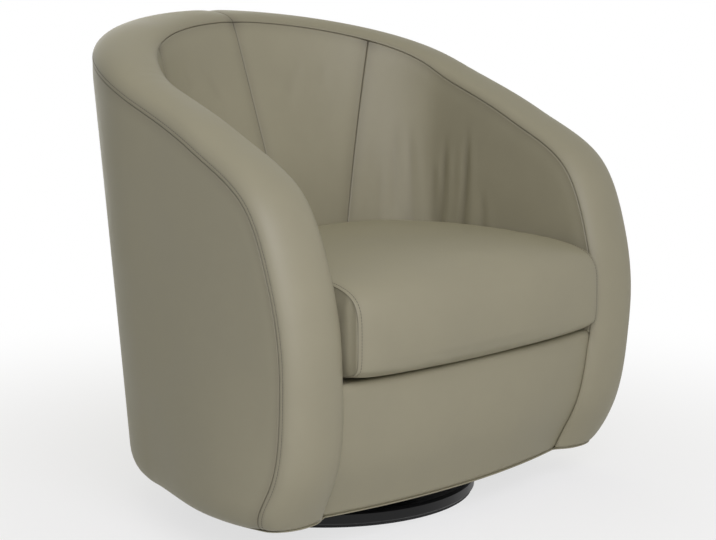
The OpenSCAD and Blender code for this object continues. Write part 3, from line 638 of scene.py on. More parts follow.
def corrected_grain_leather(colours):
    """Cow hide, sanded, pigmented and pressed with a fine pebble grain: even in colour, with a low
    sheen, small pebbles and faint clouds of tone. Painted shade darkens it in its seams and creases."""
    made, tree, shader, coords = start_material("corrected_grain_leather")
    if tree is None:
        return made
    cloud_size, grain, pores = 120 * MM, 2.2 * MM, 0.9 * MM
    clouds = add(tree, "ShaderNodeTexNoise", {"Scale": 1 / cloud_size, "Detail": 4, "Roughness": 0.55},
                 {"Vector": coords})
    tone = add(tree, "ShaderNodeMapRange", {"From Min": 0.3, "From Max": 0.7, "To Min": 0.96, "To Max": 1.03},
               {"Value": clouds.outputs["Fac"]})
    hide = add(tree, "ShaderNodeVectorMath", {0: colours.leather}, {"Scale": tone.outputs["Result"]},
               operation="SCALE")
    # Painted shade: the hide is mixed towards a darker colour where its seams and creases sink, in place of
    # the shade that falls there
    seam = add(tree, "ShaderNodeAttribute", attribute_name="seam")
    shade = add(tree, "ShaderNodeMath", {1: 0.85}, {0: seam.outputs["Fac"]}, operation="MULTIPLY")
    dark = add(tree, "ShaderNodeMix", {"B": rgba(colours.leather_seam_shade)},
               {"Factor": shade.outputs["Value"], "A": hide.outputs["Vector"]}, data_type="RGBA")
    tree.links.new(dark.outputs["Result"], shader.inputs["Base Color"])
    # The real pebbles are 0.8 to 1.2 mm wide: they are drawn twice as coarse, so that they show
    pebbles = add(tree, "ShaderNodeTexVoronoi", {"Scale": 1 / grain, "Randomness": 0.9}, {"Vector": coords},
                  feature="SMOOTH_F1")
    fine = add(tree, "ShaderNodeTexNoise", {"Scale": 1 / pores, "Detail": 2}, {"Vector": coords})
    skin = add(tree, "ShaderNodeBump", {"Strength": 0.25, "Distance": 0.2 * MM},
               {"Height": pebbles.outputs["Distance"]}, invert=True)
    skin = add(tree, "ShaderNodeBump", {"Strength": 0.15, "Distance": 0.1 * MM},
               {"Height": fine.outputs["Fac"], "Normal": skin.outputs["Normal"]})
    tree.links.new(skin.outputs["Normal"], shader.inputs["Normal"])
    rough = add(tree, "ShaderNodeMapRange", {"From Min": 0.3, "From Max": 0.7, "To Min": 0.5, "To Max": 0.6},
                {"Value": clouds.outputs["Fac"]})
    tree.links.new(rough.outputs["Result"], shader.inputs["Roughness"])
    shader.inputs["IOR"].default_value = 1.5
    shader.inputs["Specular IOR Level"].default_value = 0.4
    return made


def bonded_polyester_thread(colours):
    """Twisted and bonded sewing thread: fine slanting strands with a dull shine."""
    made, tree, shader, coords = start_material("bonded_polyester_thread")
    if tree is None:
        return made
    twist = add(tree, "ShaderNodeTexNoise", {"Scale": 1 / (1.2 * MM), "Detail": 2}, {"Vector": coords})
    tone = add(tree, "ShaderNodeMapRange", {"To Min": 0.8, "To Max": 1.15}, {"Value": twist.outputs["Fac"]})
    body = add(tree, "ShaderNodeVectorMath", {0: colours.thread}, {"Scale": tone.outputs["Result"]},
               operation="SCALE")
    tree.links.new(body.outputs["Vector"], shader.inputs["Base Color"])
    shader.inputs["Roughness"].default_value = 0.6
    return made


def satin_black_lacquer(colours):
    """Sprayed black lacquer on board: deep black, a soft satin shine and a very light orange peel."""
    made, tree, shader, coords = start_material("satin_black_lacquer")
    if tree is None:
        return made
    peel = add(tree, "ShaderNodeTexNoise", {"Scale": 1 / (5 * MM), "Detail": 2}, {"Vector": coords})
    dust = add(tree, "ShaderNodeTexNoise", {"Scale": 1 / (40 * MM), "Detail": 5}, {"Vector": coords})
    rough = add(tree, "ShaderNodeMapRange", {"To Min": 0.3, "To Max": 0.48}, {"Value": dust.outputs["Fac"]})
    skin = add(tree, "ShaderNodeBump", {"Strength": 0.15, "Distance": 0.1 * MM},
               {"Height": peel.outputs["Fac"]})
    tree.links.new(skin.outputs["Normal"], shader.inputs["Normal"])
    tree.links.new(rough.outputs["Result"], shader.inputs["Roughness"])
    shader.inputs["Base Color"].default_value = rgba(colours.board)
    shader.inputs["Specular IOR Level"].default_value = 0.3
    return made


def sheet_rubber(colours):
    """Calendered rubber sheet: matt black with a fine sandy skin."""
    made, tree, shader, coords = start_material("sheet_rubber")
    if tree is None:
        return made
    sand = add(tree, "ShaderNodeTexNoise", {"Scale": 1 / (1.5 * MM), "Detail": 3}, {"Vector": coords})
    skin = add(tree, "ShaderNodeBump", {"Strength": 0.4, "Distance": 0.2 * MM},
               {"Height": sand.outputs["Fac"]})
    tree.links.new(skin.outputs["Normal"], shader.inputs["Normal"])
    shader.inputs["Base Color"].default_value = rgba(colours.rubber)
    shader.inputs["Roughness"].default_value = 0.85
    return made


def black_lining_cloth(colours):
    """Plain woven polypropylene lining: a tight grid of black threads with a faint shine."""
    made, tree, shader, coords = start_material("black_lining_cloth")
    if tree is None:
        return made
    # The real threads are 0.4 mm apart: they are drawn at 2 mm, so that the weave shows
    pitch = 2 * MM
    split = add(tree, "ShaderNodeSeparateXYZ", links={"Vector": coords})
    waves = []
    for axis in ("X", "Y"):
        turns = add(tree, "ShaderNodeMath", {1: 2 * math.pi / pitch}, {0: split.outputs[axis]},
                    operation="MULTIPLY")
        waves.append(add(tree, "ShaderNodeMath", links={0: turns.outputs["Value"]}, operation="SINE"))
    weave = add(tree, "ShaderNodeMath", links={0: waves[0].outputs["Value"], 1: waves[1].outputs["Value"]},
                operation="MULTIPLY")
    tone = add(tree, "ShaderNodeMapRange", {"From Min": -1, "From Max": 1, "To Min": 0.7, "To Max": 1.4},
               {"Value": weave.outputs["Value"]})
    body = add(tree, "ShaderNodeVectorMath", {0: colours.cloth}, {"Scale": tone.outputs["Result"]},
               operation="SCALE")
    skin = add(tree, "ShaderNodeBump", {"Strength": 0.4, "Distance": 0.2 * MM},
               {"Height": weave.outputs["Value"]})
    tree.links.new(body.outputs["Vector"], shader.inputs["Base Color"])
    tree.links.new(skin.outputs["Normal"], shader.inputs["Normal"])
    shader.inputs["Roughness"].default_value = 0.8
    return made


def birch_plywood(colours):
    """Rotary cut birch plies, glued crosswise: pale, with thin dark lines across the edges."""
    made, tree, shader, coords = start_material("birch_plywood")
    if tree is None:
        return made
    ply = 1.5 * MM
    grain = add(tree, "ShaderNodeTexNoise", {"Scale": 1 / (30 * MM), "Detail": 6, "Distortion": 1.5},
                {"Vector": coords})
    layers = add(tree, "ShaderNodeTexWave", {"Scale": 2 * math.pi / (20 * ply), "Distortion": 1, "Detail": 1},
                 {"Vector": coords}, bands_direction="Z")
    tone = add(tree, "ShaderNodeMapRange", {"To Min": 0.75, "To Max": 1.1}, {"Value": grain.outputs["Fac"]})
    body = add(tree, "ShaderNodeVectorMath", {0: colours.plywood}, {"Scale": tone.outputs["Result"]},
               operation="SCALE")
    glue = add(tree, "ShaderNodeMath", {1: 0.25}, {0: layers.outputs["Fac"]}, operation="MULTIPLY")
    lined = add(tree, "ShaderNodeMix", {"B": rgba(linear("#8A6A40"))},
                {"Factor": glue.outputs["Value"], "A": body.outputs["Vector"]}, data_type="RGBA")
    tree.links.new(lined.outputs["Result"], shader.inputs["Base Color"])
    shader.inputs["Roughness"].default_value = 0.65
    return made


def pressed_fibreboard(colours):
    """Thin board pressed from wood fibres: brown, matt, with short loose fibres in its skin."""
    made, tree, shader, coords = start_material("pressed_fibreboard")
    if tree is None:
        return made
    fibres = add(tree, "ShaderNodeTexNoise", {"Scale": 1 / (4 * MM), "Detail": 6, "Distortion": 2},
                 {"Vector": coords})
    tone = add(tree, "ShaderNodeMapRange", {"To Min": 0.7, "To Max": 1.2}, {"Value": fibres.outputs["Fac"]})
    body = add(tree, "ShaderNodeVectorMath", {0: colours.fibreboard}, {"Scale": tone.outputs["Result"]},
               operation="SCALE")
    tree.links.new(body.outputs["Vector"], shader.inputs["Base Color"])
    shader.inputs["Roughness"].default_value = 0.8
    return made


def zinc_plated_steel(colours):
    """Pressed steel with a bright zinc coat: bluish grey, with dull cloudy patches."""
    made, tree, shader, coords = start_material("zinc_plated_steel")
    if tree is None:
        return made
    clouds = add(tree, "ShaderNodeTexNoise", {"Scale": 1 / (12 * MM), "Detail": 5}, {"Vector": coords})
    rough = add(tree, "ShaderNodeMapRange", {"To Min": 0.25, "To Max": 0.5}, {"Value": clouds.outputs["Fac"]})
    tree.links.new(rough.outputs["Result"], shader.inputs["Roughness"])
    shader.inputs["Base Color"].default_value = rgba(colours.steel)
    shader.inputs["Metallic"].default_value = 1
    return made


def nylon_coil(colours):
    """Moulded nylon zip: dull, with a slight mottle from handling."""
    made, tree, shader, coords = start_material("nylon_coil")
    if tree is None:
        return made
    mottle = add(tree, "ShaderNodeTexNoise", {"Scale": 1 / (3 * MM), "Detail": 3}, {"Vector": coords})
    tone = add(tree, "ShaderNodeMapRange", {"To Min": 0.8, "To Max": 1.15}, {"Value": mottle.outputs["Fac"]})
    body = add(tree, "ShaderNodeVectorMath", {0: colours.zip}, {"Scale": tone.outputs["Result"]},
               operation="SCALE")
    tree.links.new(body.outputs["Vector"], shader.inputs["Base Color"])
    shader.inputs["Roughness"].default_value = 0.5
    return made


def cut_polyurethane_foam(colours):
    """Polyurethane foam, cut from a block: cream and matt, a skin full of small open cells."""
    made, tree, shader, coords = start_material("cut_polyurethane_foam")
    if tree is None:
        return made
    # The real cells are 0.5 mm wide: they are drawn at 2 mm, so that they show
    cells = add(tree, "ShaderNodeTexVoronoi", {"Scale": 1 / (2 * MM)}, {"Vector": coords})
    tone = add(tree, "ShaderNodeMapRange", {"To Min": 0.8, "To Max": 1.05},
               {"Value": cells.outputs["Distance"]})
    body = add(tree, "ShaderNodeVectorMath", {0: colours.foam}, {"Scale": tone.outputs["Result"]},
               operation="SCALE")
    skin = add(tree, "ShaderNodeBump", {"Strength": 0.5, "Distance": 0.4 * MM},
               {"Height": cells.outputs["Distance"]})
    tree.links.new(body.outputs["Vector"], shader.inputs["Base Color"])
    tree.links.new(skin.outputs["Normal"], shader.inputs["Normal"])
    shader.inputs["Roughness"].default_value = 0.95
    return made


# Sewing


# A stitch from end to end in shares of its length, and how far it lifts off the leather in thread radii
STITCH_WAYS = np.array([-0.5, -0.36, 0, 0.36, 0.5])
STITCH_LIFTS = np.array([-0.6, 0.1, 0.35, 0.1, -0.6])
WIRE_SIDES = 6


def on_line(line, gone, ways):
    """The points of a line at distances along it."""
    return np.stack([np.interp(ways, gone, line[:, i]) for i in range(3)], -1)


def stitch_row(name, points, normals, sizes):
    """A row of thread stitches that lie on a line of points, each one dipping in at both ends."""
    gone = travelled(points)
    radius = sizes.thread / 2
    made, faces = [], []
    for middle in np.arange(sizes.stitch_pitch, gone[-1] - sizes.stitch_pitch, sizes.stitch_pitch):
        ways = middle + STITCH_WAYS * sizes.stitch_len
        centre, out = on_line(points, gone, ways), unit(on_line(normals, gone, ways))
        side = unit(np.cross(unit(np.gradient(centre, axis=0)), out))
        spine = centre + out * (STITCH_LIFTS * radius)[:, None]
        faces += wire_faces(len(made) * len(spine) * WIRE_SIDES, len(spine), WIRE_SIDES)
        made.append(wire_points(spine, side, out, radius, WIRE_SIDES))
    return new_mesh(name, np.concatenate(made), faces)


def sheet_line(sheet, distances, distance):
    """The line on a sheet's cover at a distance from one of its long edges, with its normals."""
    rows = np.argmin(np.abs(distances - distance), axis=1)
    at = np.arange(len(rows))
    return sheet.near[at, rows], sheet.out[at, rows]


# The chair


class Chair:
    """What the operators share: the wall, the sizes and the materials."""

    def __init__(self, context):
        scene = context.scene
        self.wall = Wall(scene.tub_shape)
        self.sizes = scene.sewing_sizes
        self.colours = scene.chair_colours
        self.leather = corrected_grain_leather(self.colours)
        self.thread = bonded_polyester_thread(self.colours)
        # How much higher the deck is at its sides, where the cushion's underside rises
        self.deck_rise = scene.cushion_shape.lift - CLEARANCE

    def stitches(self, name, sheet, distances):
        """A row of top stitching along a sheet's edge on the right, and its twin on the left."""
        points, out = sheet_line(sheet, distances, self.sizes.stitch_from)
        row = stitch_row(name + "_right", points, out, self.sizes)
        finish_piece(row, self.thread, "tub")
        twin = mirrored(row, name + "_left")
        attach(twin, "tub")

    def pair(self, right, name, replaced):
        """Finishes a cover on the right and its twin on the left."""
        left = mirrored(right, name + "_left")
        for thing, side in ((right, "right"), (left, "left")):
            finish_piece(thing, self.leather, "tub", [node + "_" + side for node in replaced])


# A point inside the tub: the outside covers face away from it and the inside covers towards it
CENTRE = (0, 0, 0.45)


class TUB_OT_outside(bpy.types.Operator):
    """Make the two outside covers, from the outer seam down to the hem."""

    bl_idname = "tub_chair.outside"
    bl_label = "Outside covers"

    step, rows = 6 * MM, 56

    def execute(self, context):
        chair = Chair(context)
        wall, sizes = chair.wall, chair.sizes
        ends = (SEAM_ROWS, PLAIN_ROWS)
        sheet = Sheet(wall.outer_fan, (0, wall.foot), ends, self.step, ends, self.rows)
        sink = sewn(sheet.from_start, sizes) + sewn(sheet.from_first, sizes)
        right = cover("outside_cover_right", sheet, (CENTRE, -1), sink, sizes)
        chair.pair(right, "outside_cover", ["outer_cover", "outer_pad"])
        return {"FINISHED"}


class TUB_OT_rim(bpy.types.Operator):
    """Make the two bands over the rim and the arm fronts, with their top stitching."""

    bl_idname = "tub_chair.rim"
    bl_label = "Rim bands"

    step, rows = 5 * MM, 20
    # Beside the front panel, which runs in behind it, the band's edge rolls in by this share only
    beside_panel = 0.35
    fade_w = 30 * MM

    def execute(self, context):
        chair = Chair(context)
        wall, sizes = chair.wall, chair.sizes
        sides, ends = (SEAM_ROWS, PLAIN_ROWS), (SEAM_ROWS, SEAM_ROWS)
        sheet = Sheet(wall.crown, (0, wall.foot), sides, self.step, ends, self.rows)
        below = ease(np.clip((sheet.runs - wall.deck) / self.fade_w, 0, 1))
        inner = sewn(sheet.from_end, sizes) * mix(1, self.beside_panel, below)
        sink = (sewn(sheet.from_start, sizes) + inner + sewn(sheet.from_first, sizes)
                + stitched(sheet.from_start, sizes))
        right = cover("rim_cover_right", sheet, (CENTRE, -1), sink, sizes)
        chair.pair(right, "rim_cover", ["rim_band", "rim_pad"])
        chair.stitches("outer_stitching", sheet, sheet.from_start)
        return {"FINISHED"}


class TUB_OT_inside_back(bpy.types.Operator):
    """Make the two halves of the inside back."""

    bl_idname = "tub_chair.inside_back"
    bl_label = "Inside back"

    step, rows = 5 * MM, 90
    # Top and foot of each crease, from the middle seam and the top seam, and its depth, in millimetres
    creases = [((118, 56), (85, 116), 0.6), ((167, 55), (150, 90), 0.6), ((94, 73), (71, 138), 0.4)]

    def execute(self, context):
        chair = Chair(context)
        wall, sizes = chair.wall, chair.sizes
        sides, ends = (SEAM_ROWS, SEAM_ROWS), (SEAM_ROWS, PLAIN_ROWS)
        sheet = Sheet(wall.inner_fan, (0, wall.seam), sides, self.step, ends, self.rows)
        sink = (sewn(sheet.from_start, sizes) + sewn(sheet.from_first, sizes) + sewn(sheet.from_last, sizes)
                + creased(sheet, self.creases, sizes))
        right = cover("inside_back_cover_right", sheet, (CENTRE, 1), sink, sizes)
        chair.pair(right, "inside_back_cover", ["inside_back"])
        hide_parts("back_foam")
        return {"FINISHED"}


class TUB_OT_inside_arms(bpy.types.Operator):
    """Make the inside covers of the two arms."""

    bl_idname = "tub_chair.inside_arms"
    bl_label = "Inside arms"

    step, rows = 4 * MM, 80
    # Top and foot of each crease, from the back seam and the top seam, and its depth, in millimetres
    creases = [
        ((53, 200), (66, 310), 0.7), ((66, 119), (84, 250), 0.9), ((95, 121), (118, 265), 1.4),
        ((148, 145), (158, 235), 1.3), ((171, 93), (176, 240), 2.1), ((197, 110), (203, 240), 0.8),
        ((223, 60), (227, 235), 2.4), ((269, 135), (278, 215), 1.1),
    ]

    def execute(self, context):
        chair = Chair(context)
        wall, sizes = chair.wall, chair.sizes
        ends = (SEAM_ROWS, PLAIN_ROWS)
        sheet = Sheet(wall.inner_fan, (wall.seam, wall.deck), ends, self.step, ends, self.rows)
        sink = (sewn(sheet.from_start, sizes) + sewn(sheet.from_first, sizes)
                + creased(sheet, self.creases, sizes))
        right = cover("inside_arm_cover_right", sheet, (CENTRE, 1), sink, sizes)
        chair.pair(right, "inside_arm_cover", ["inside_arm", "arm_foam"])
        return {"FINISHED"}


class FrontPanel:
    """The front cover: up the panel, over its rolled top edge and back along the deck."""

    # The deck rises towards its sides by this power of the way across
    RISE_POWER = 3

    def __init__(self, wall, sizes, rise):
        self.wall, self.sizes, self.rise = wall, sizes, rise
        self.straight = wall.s.deck_h - wall.s.floor_gap - sizes.front_roll
        self.over = self.straight + np.pi / 2 * sizes.front_roll
        self.last = self.over + sizes.deck_strip
        self.half = wall.front(np.array(1.0), np.array(wall.s.deck_h))[0]
        self.front = wall.front(np.array(0.0), np.array(wall.s.deck_h))[1]

    def point(self, run, share):
        """A point at a way up and over the panel, and a share of the way across it."""
        roll, floor_gap = self.sizes.front_roll, self.wall.s.floor_gap
        turn = np.clip((run - self.straight) / roll, 0, np.pi / 2)
        across = (2 * share - 1) * (1 + self.sizes.tuck / self.half * np.cos(turn))
        back = np.maximum(run - self.over, 0)
        flat = self.wall.front(across, floor_gap + np.minimum(run, self.straight) + 0 * across)
        up = (roll + self.rise * np.abs(across) ** self.RISE_POWER) * np.sin(turn)
        return flat + np.stack([0 * up, roll * (1 - np.cos(turn)) + back + 0 * up, up], -1)


class TUB_OT_front(bpy.types.Operator):
    """Make the front panel, which turns back over the deck under the cushion."""

    bl_idname = "tub_chair.front"
    bl_label = "Front panel"

    step, rows = 3 * MM, 90
    # Where the panel runs in behind the bands its sides sink by this share only
    beside_bands = 0.3

    def execute(self, context):
        chair = Chair(context)
        wall, sizes = chair.wall, chair.sizes
        panel = FrontPanel(wall, sizes, chair.deck_rise)
        sides, ends = (PLAIN_ROWS, SEAM_ROWS), (SEAM_ROWS, SEAM_ROWS)
        sheet = Sheet(panel.point, (0, panel.last), sides, self.step, ends, self.rows)
        over = ease(np.clip((sheet.runs - panel.straight) / (panel.over - panel.straight), 0, 1))
        beside = sewn(sheet.from_start, sizes) + sewn(sheet.from_end, sizes)
        sink = beside * mix(self.beside_bands, 1, over) + sewn(sheet.from_last, sizes)
        thing = cover("front_cover", sheet, ((0, 1, 0), -1), sink, sizes)
        finish_piece(thing, chair.leather, "tub", ["front_panel", "front_pad"])
        return {"FINISHED"}


class TUB_OT_deck(bpy.types.Operator):
    """Make the deck under the cushion: lining cloth over a thin pad on the springs."""

    bl_idname = "tub_chair.deck"
    bl_label = "Deck"

    step, rows = 9 * MM, 60
    # The cloth is pulled down along its edges
    edge_w = 8 * MM
    edge_drop = 6 * MM

    def execute(self, context):
        chair = Chair(context)
        wall, sizes = chair.wall, chair.sizes
        panel = FrontPanel(wall, sizes, chair.deck_rise)
        half = panel.half - CLEARANCE
        start = panel.front + sizes.front_roll + sizes.deck_strip + CLEARANCE
        line = wall.inner(np.linspace(0, 1, 4 * SAMPLES), wall.s.deck_h)
        order = np.argsort(line[:, 0])

        def surface(run, share):
            x = (2 * share - 1) * half
            end = np.interp(np.abs(x), line[order, 0], line[order, 1]) - CLEARANCE
            rise = chair.deck_rise * np.abs(x / half) ** panel.RISE_POWER
            level = wall.s.deck_h - LAYER_GAP + rise
            return np.stack([x + 0 * run, mix(start, end, run), level + 0 * run], -1)

        ends = (PLAIN_ROWS, PLAIN_ROWS)
        sheet = Sheet(surface, (0, 1), ends, self.step, ends, self.rows)
        edge = np.minimum.reduce([sheet.from_start, sheet.from_end, sheet.from_first, sheet.from_last])
        near = sheet.points.copy()
        near[..., 2] -= self.edge_drop * np.exp(-((edge / self.edge_w) ** 2))
        thing = padded_sheet("deck", near, near - np.array([0, 0, sizes.deck_pad]))
        cloth = black_lining_cloth(chair.colours)
        finish_piece(thing, cloth, "tub", ["deck_pad", "deck_cover"])
        return {"FINISHED"}


class TUB_OT_underside(bpy.types.Operator):
    """Make the underside: the leather turned under, the dust cloth and its staples."""

    bl_idname = "tub_chair.underside"
    bl_label = "Underside"

    columns = 720
    hem_rows, cloth_rows = 9, 30
    pleat = 9 * MM
    pleat_depth = 0.9 * MM
    # The pleats are deepest in the sharpest tenth of the outline, and spread over this many columns
    sharpest, spread = 90, 25
    overlap = 1.5 * MM
    riser_gap = 2 * MM
    sag = 1.2 * MM
    # How much larger the sagging cloth is than the flat ring that it covers
    sag_share = 1.0005
    side_samples = 300
    # A staple from leg to leg in shares of its width
    staple_ways = np.array([-0.5, -0.42, 0.42, 0.5])
    staple_inset = 6 * MM

    def execute(self, context):
        chair = Chair(context)
        wall, sizes = chair.wall, chair.sizes
        turn = np.linspace(0, 2 * np.pi, self.columns, endpoint=False)
        reach = self.outline(wall, turn)
        curve = np.abs(np.gradient(np.gradient(reach)))
        bend = np.clip(curve / np.percentile(curve, self.sharpest), 0, 1)
        around = self.spread // 2
        bend = np.concatenate([bend[-around:], bend, bend[:around]])
        bend = np.convolve(bend, np.ones(self.spread) / self.spread, "valid")
        along = np.cumsum(reach) * 2 * np.pi / self.columns
        level = wall.s.floor_gap - LAYER_GAP

        def ring(inset, drop):
            far = reach - inset
            return np.stack([far * np.cos(turn), far * np.sin(turn), level - drop + 0 * far], -1)

        waves = self.pleat_depth * bend * np.sin(2 * np.pi * along / self.pleat) ** 2
        hem = [ring(mix(-self.overlap, sizes.turn_under, s), waves * np.sin(np.pi * s / 2))
               for s in np.linspace(0, 1, self.hem_rows)]
        under = self.closed_ring("leather_turned_under", np.stack(hem), sizes.leather)
        finish_piece(under, chair.leather, "tub")
        low = sizes.leather + self.pleat_depth
        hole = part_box("base_riser")[1].x + self.riser_gap
        rows = [ring(mix(sizes.cloth_inset, reach - hole, s), low + self.sag * np.sin(np.pi * s))
                for s in np.linspace(0, 1, self.cloth_rows)]
        cloth = self.closed_ring("dust_cloth", np.stack(rows), sizes.cloth)
        finish_piece(cloth, black_lining_cloth(chair.colours), "tub", ["dust_cover"])
        outer, inner = rows[0], rows[-1]
        area = (self.area(outer) - self.area(inner)) * self.sag_share
        self.staples(chair, ring, along, low + sizes.cloth)
        return {"FINISHED"}

    def outline(self, wall, turn):
        """How far the tub's underside reaches from the swivel axis in each direction."""
        foot = wall.s.floor_gap
        end, there, back = np.array([[wall.foot]]), np.linspace(0, 1, SAMPLES), np.linspace(1, 0, SAMPLES)
        side = wall.outer(np.linspace(0, OUTER_FAN_SHARE, self.side_samples), foot)
        last = wall.outer_fan(end, back[None])[0]
        arm = wall.crown(end, there[None])[0]
        front = wall.front(back, np.full(SAMPLES, foot))
        line = np.concatenate([side, last, arm, front])[:, :2]
        line = np.concatenate([line, line[::-1] * (-1, 1)])
        way = np.arctan2(line[:, 1], line[:, 0]) % (2 * np.pi)
        order = np.argsort(way)
        return np.interp(turn, way[order], np.linalg.norm(line, axis=1)[order], period=2 * np.pi)

    def area(self, line):
        """Area inside a closed line."""
        x, y = line[:, 0], line[:, 1]
        return abs(np.sum(x * np.roll(y, -1) - y * np.roll(x, -1))) / 2

    def closed_ring(self, name, rows, thickness):
        """A thin ring between rows of points that each run all the way round."""
        rows = np.concatenate([rows, rows[:, :1]], axis=1)
        return padded_sheet(name, rows, rows - np.array([0, 0, thickness]))

    def staples(self, chair, ring, along, drop):
        """A ring of staples along the edge of the dust cloth."""
        sizes = chair.sizes
        radius, up = sizes.wire / 2, np.array([0, 0, 1])
        line = ring(sizes.cloth_inset + self.staple_inset, drop + radius)
        points, faces = [], []
        for middle in np.arange(0, along[-1], sizes.staple_pitch):
            spine = on_line(line, along, middle + self.staple_ways * sizes.staple)
            spine[[0, -1], 2] += 2 * sizes.wire
            side = unit(np.cross(unit(spine[-1] - spine[0]), up))
            faces += wire_faces(len(points) * len(spine) * WIRE_SIDES, len(spine), WIRE_SIDES)
            points.append(wire_points(spine, side, up, radius, WIRE_SIDES))
        thing = new_mesh("staples", np.concatenate(points), faces)
        finish_piece(thing, zinc_plated_steel(chair.colours), "tub")


class Cushion:
    """Outline of the loose cushion: a rounded profile at each place across its width."""

    # Squareness of the profile above and below its middle, and where the middle lies in the height
    TOP_POWER, UNDER_POWER = 4, 9
    SEAM_HEIGHT_SHARE = 0.44
    # How late across the width the top falls and the front draws back
    CROWN_POWER, RECESS_POWER = 3, 4
    # Places and heights at which the inside of the back is measured
    PLACES, LEVELS = 81, 25

    def __init__(self, shape, wall):
        self.s, self.wall = shape, wall
        self.low = wall.s.deck_h + LAYER_GAP
        self.high = self.low + shape.thickness
        self.middle = mix(self.low, self.high, self.SEAM_HEIGHT_SHARE)
        self.half = min(wall.inner(1, self.low)[0], wall.inner(2, self.low)[0]) - shape.side_gap
        self.front = wall.front(np.array(1.0), np.array(wall.s.deck_h))[1] - shape.ahead

    def back_at(self, x, z):
        """How far back the cushion reaches at a distance from the middle and a height."""
        places = np.linspace(0, 1, self.PLACES)[:, None]
        heights = np.linspace(self.low, self.high, self.LEVELS)
        lines = self.wall.inner(places, heights + 0 * places)
        table = np.stack([np.interp(np.abs(x), lines[:, i, 0], lines[:, i, 1])
                          for i in range(self.LEVELS)], -1)
        level = np.clip((z - self.low) / (self.high - self.low), 0, 1) * (self.LEVELS - 1)
        i = np.minimum(level.astype(int), self.LEVELS - 2)
        left = np.take_along_axis(table, i[..., None], -1)[..., 0]
        right = np.take_along_axis(table, i[..., None] + 1, -1)[..., 0]
        return mix(left, right, level - i) - self.s.back_gap

    def point(self, across, turn, depth, inset):
        """A point of the cushion, sunk by depth, with its sides drawn in by inset."""
        shoulder = np.abs(across) ** self.CROWN_POWER
        high = self.high - self.s.crown * shoulder - depth
        low = self.low + self.s.lift * shoulder + depth
        sine, cosine = np.sin(turn), np.cos(turn)
        power = np.where(sine > 0, self.TOP_POWER, self.UNDER_POWER)
        rise = np.sign(sine) * np.abs(sine) ** (2 / power)
        reach = np.sign(cosine) * np.abs(cosine) ** (2 / power)
        z = self.middle + rise * np.where(rise > 0, high - self.middle, self.middle - low)
        x = across * (self.half - inset) + 0 * z
        front = self.front + self.s.recess * np.abs(across) ** self.RECESS_POWER + depth
        back = self.back_at(x, z) - depth
        return np.stack([x, mix(front, back, (1 + reach) / 2), z], -1)


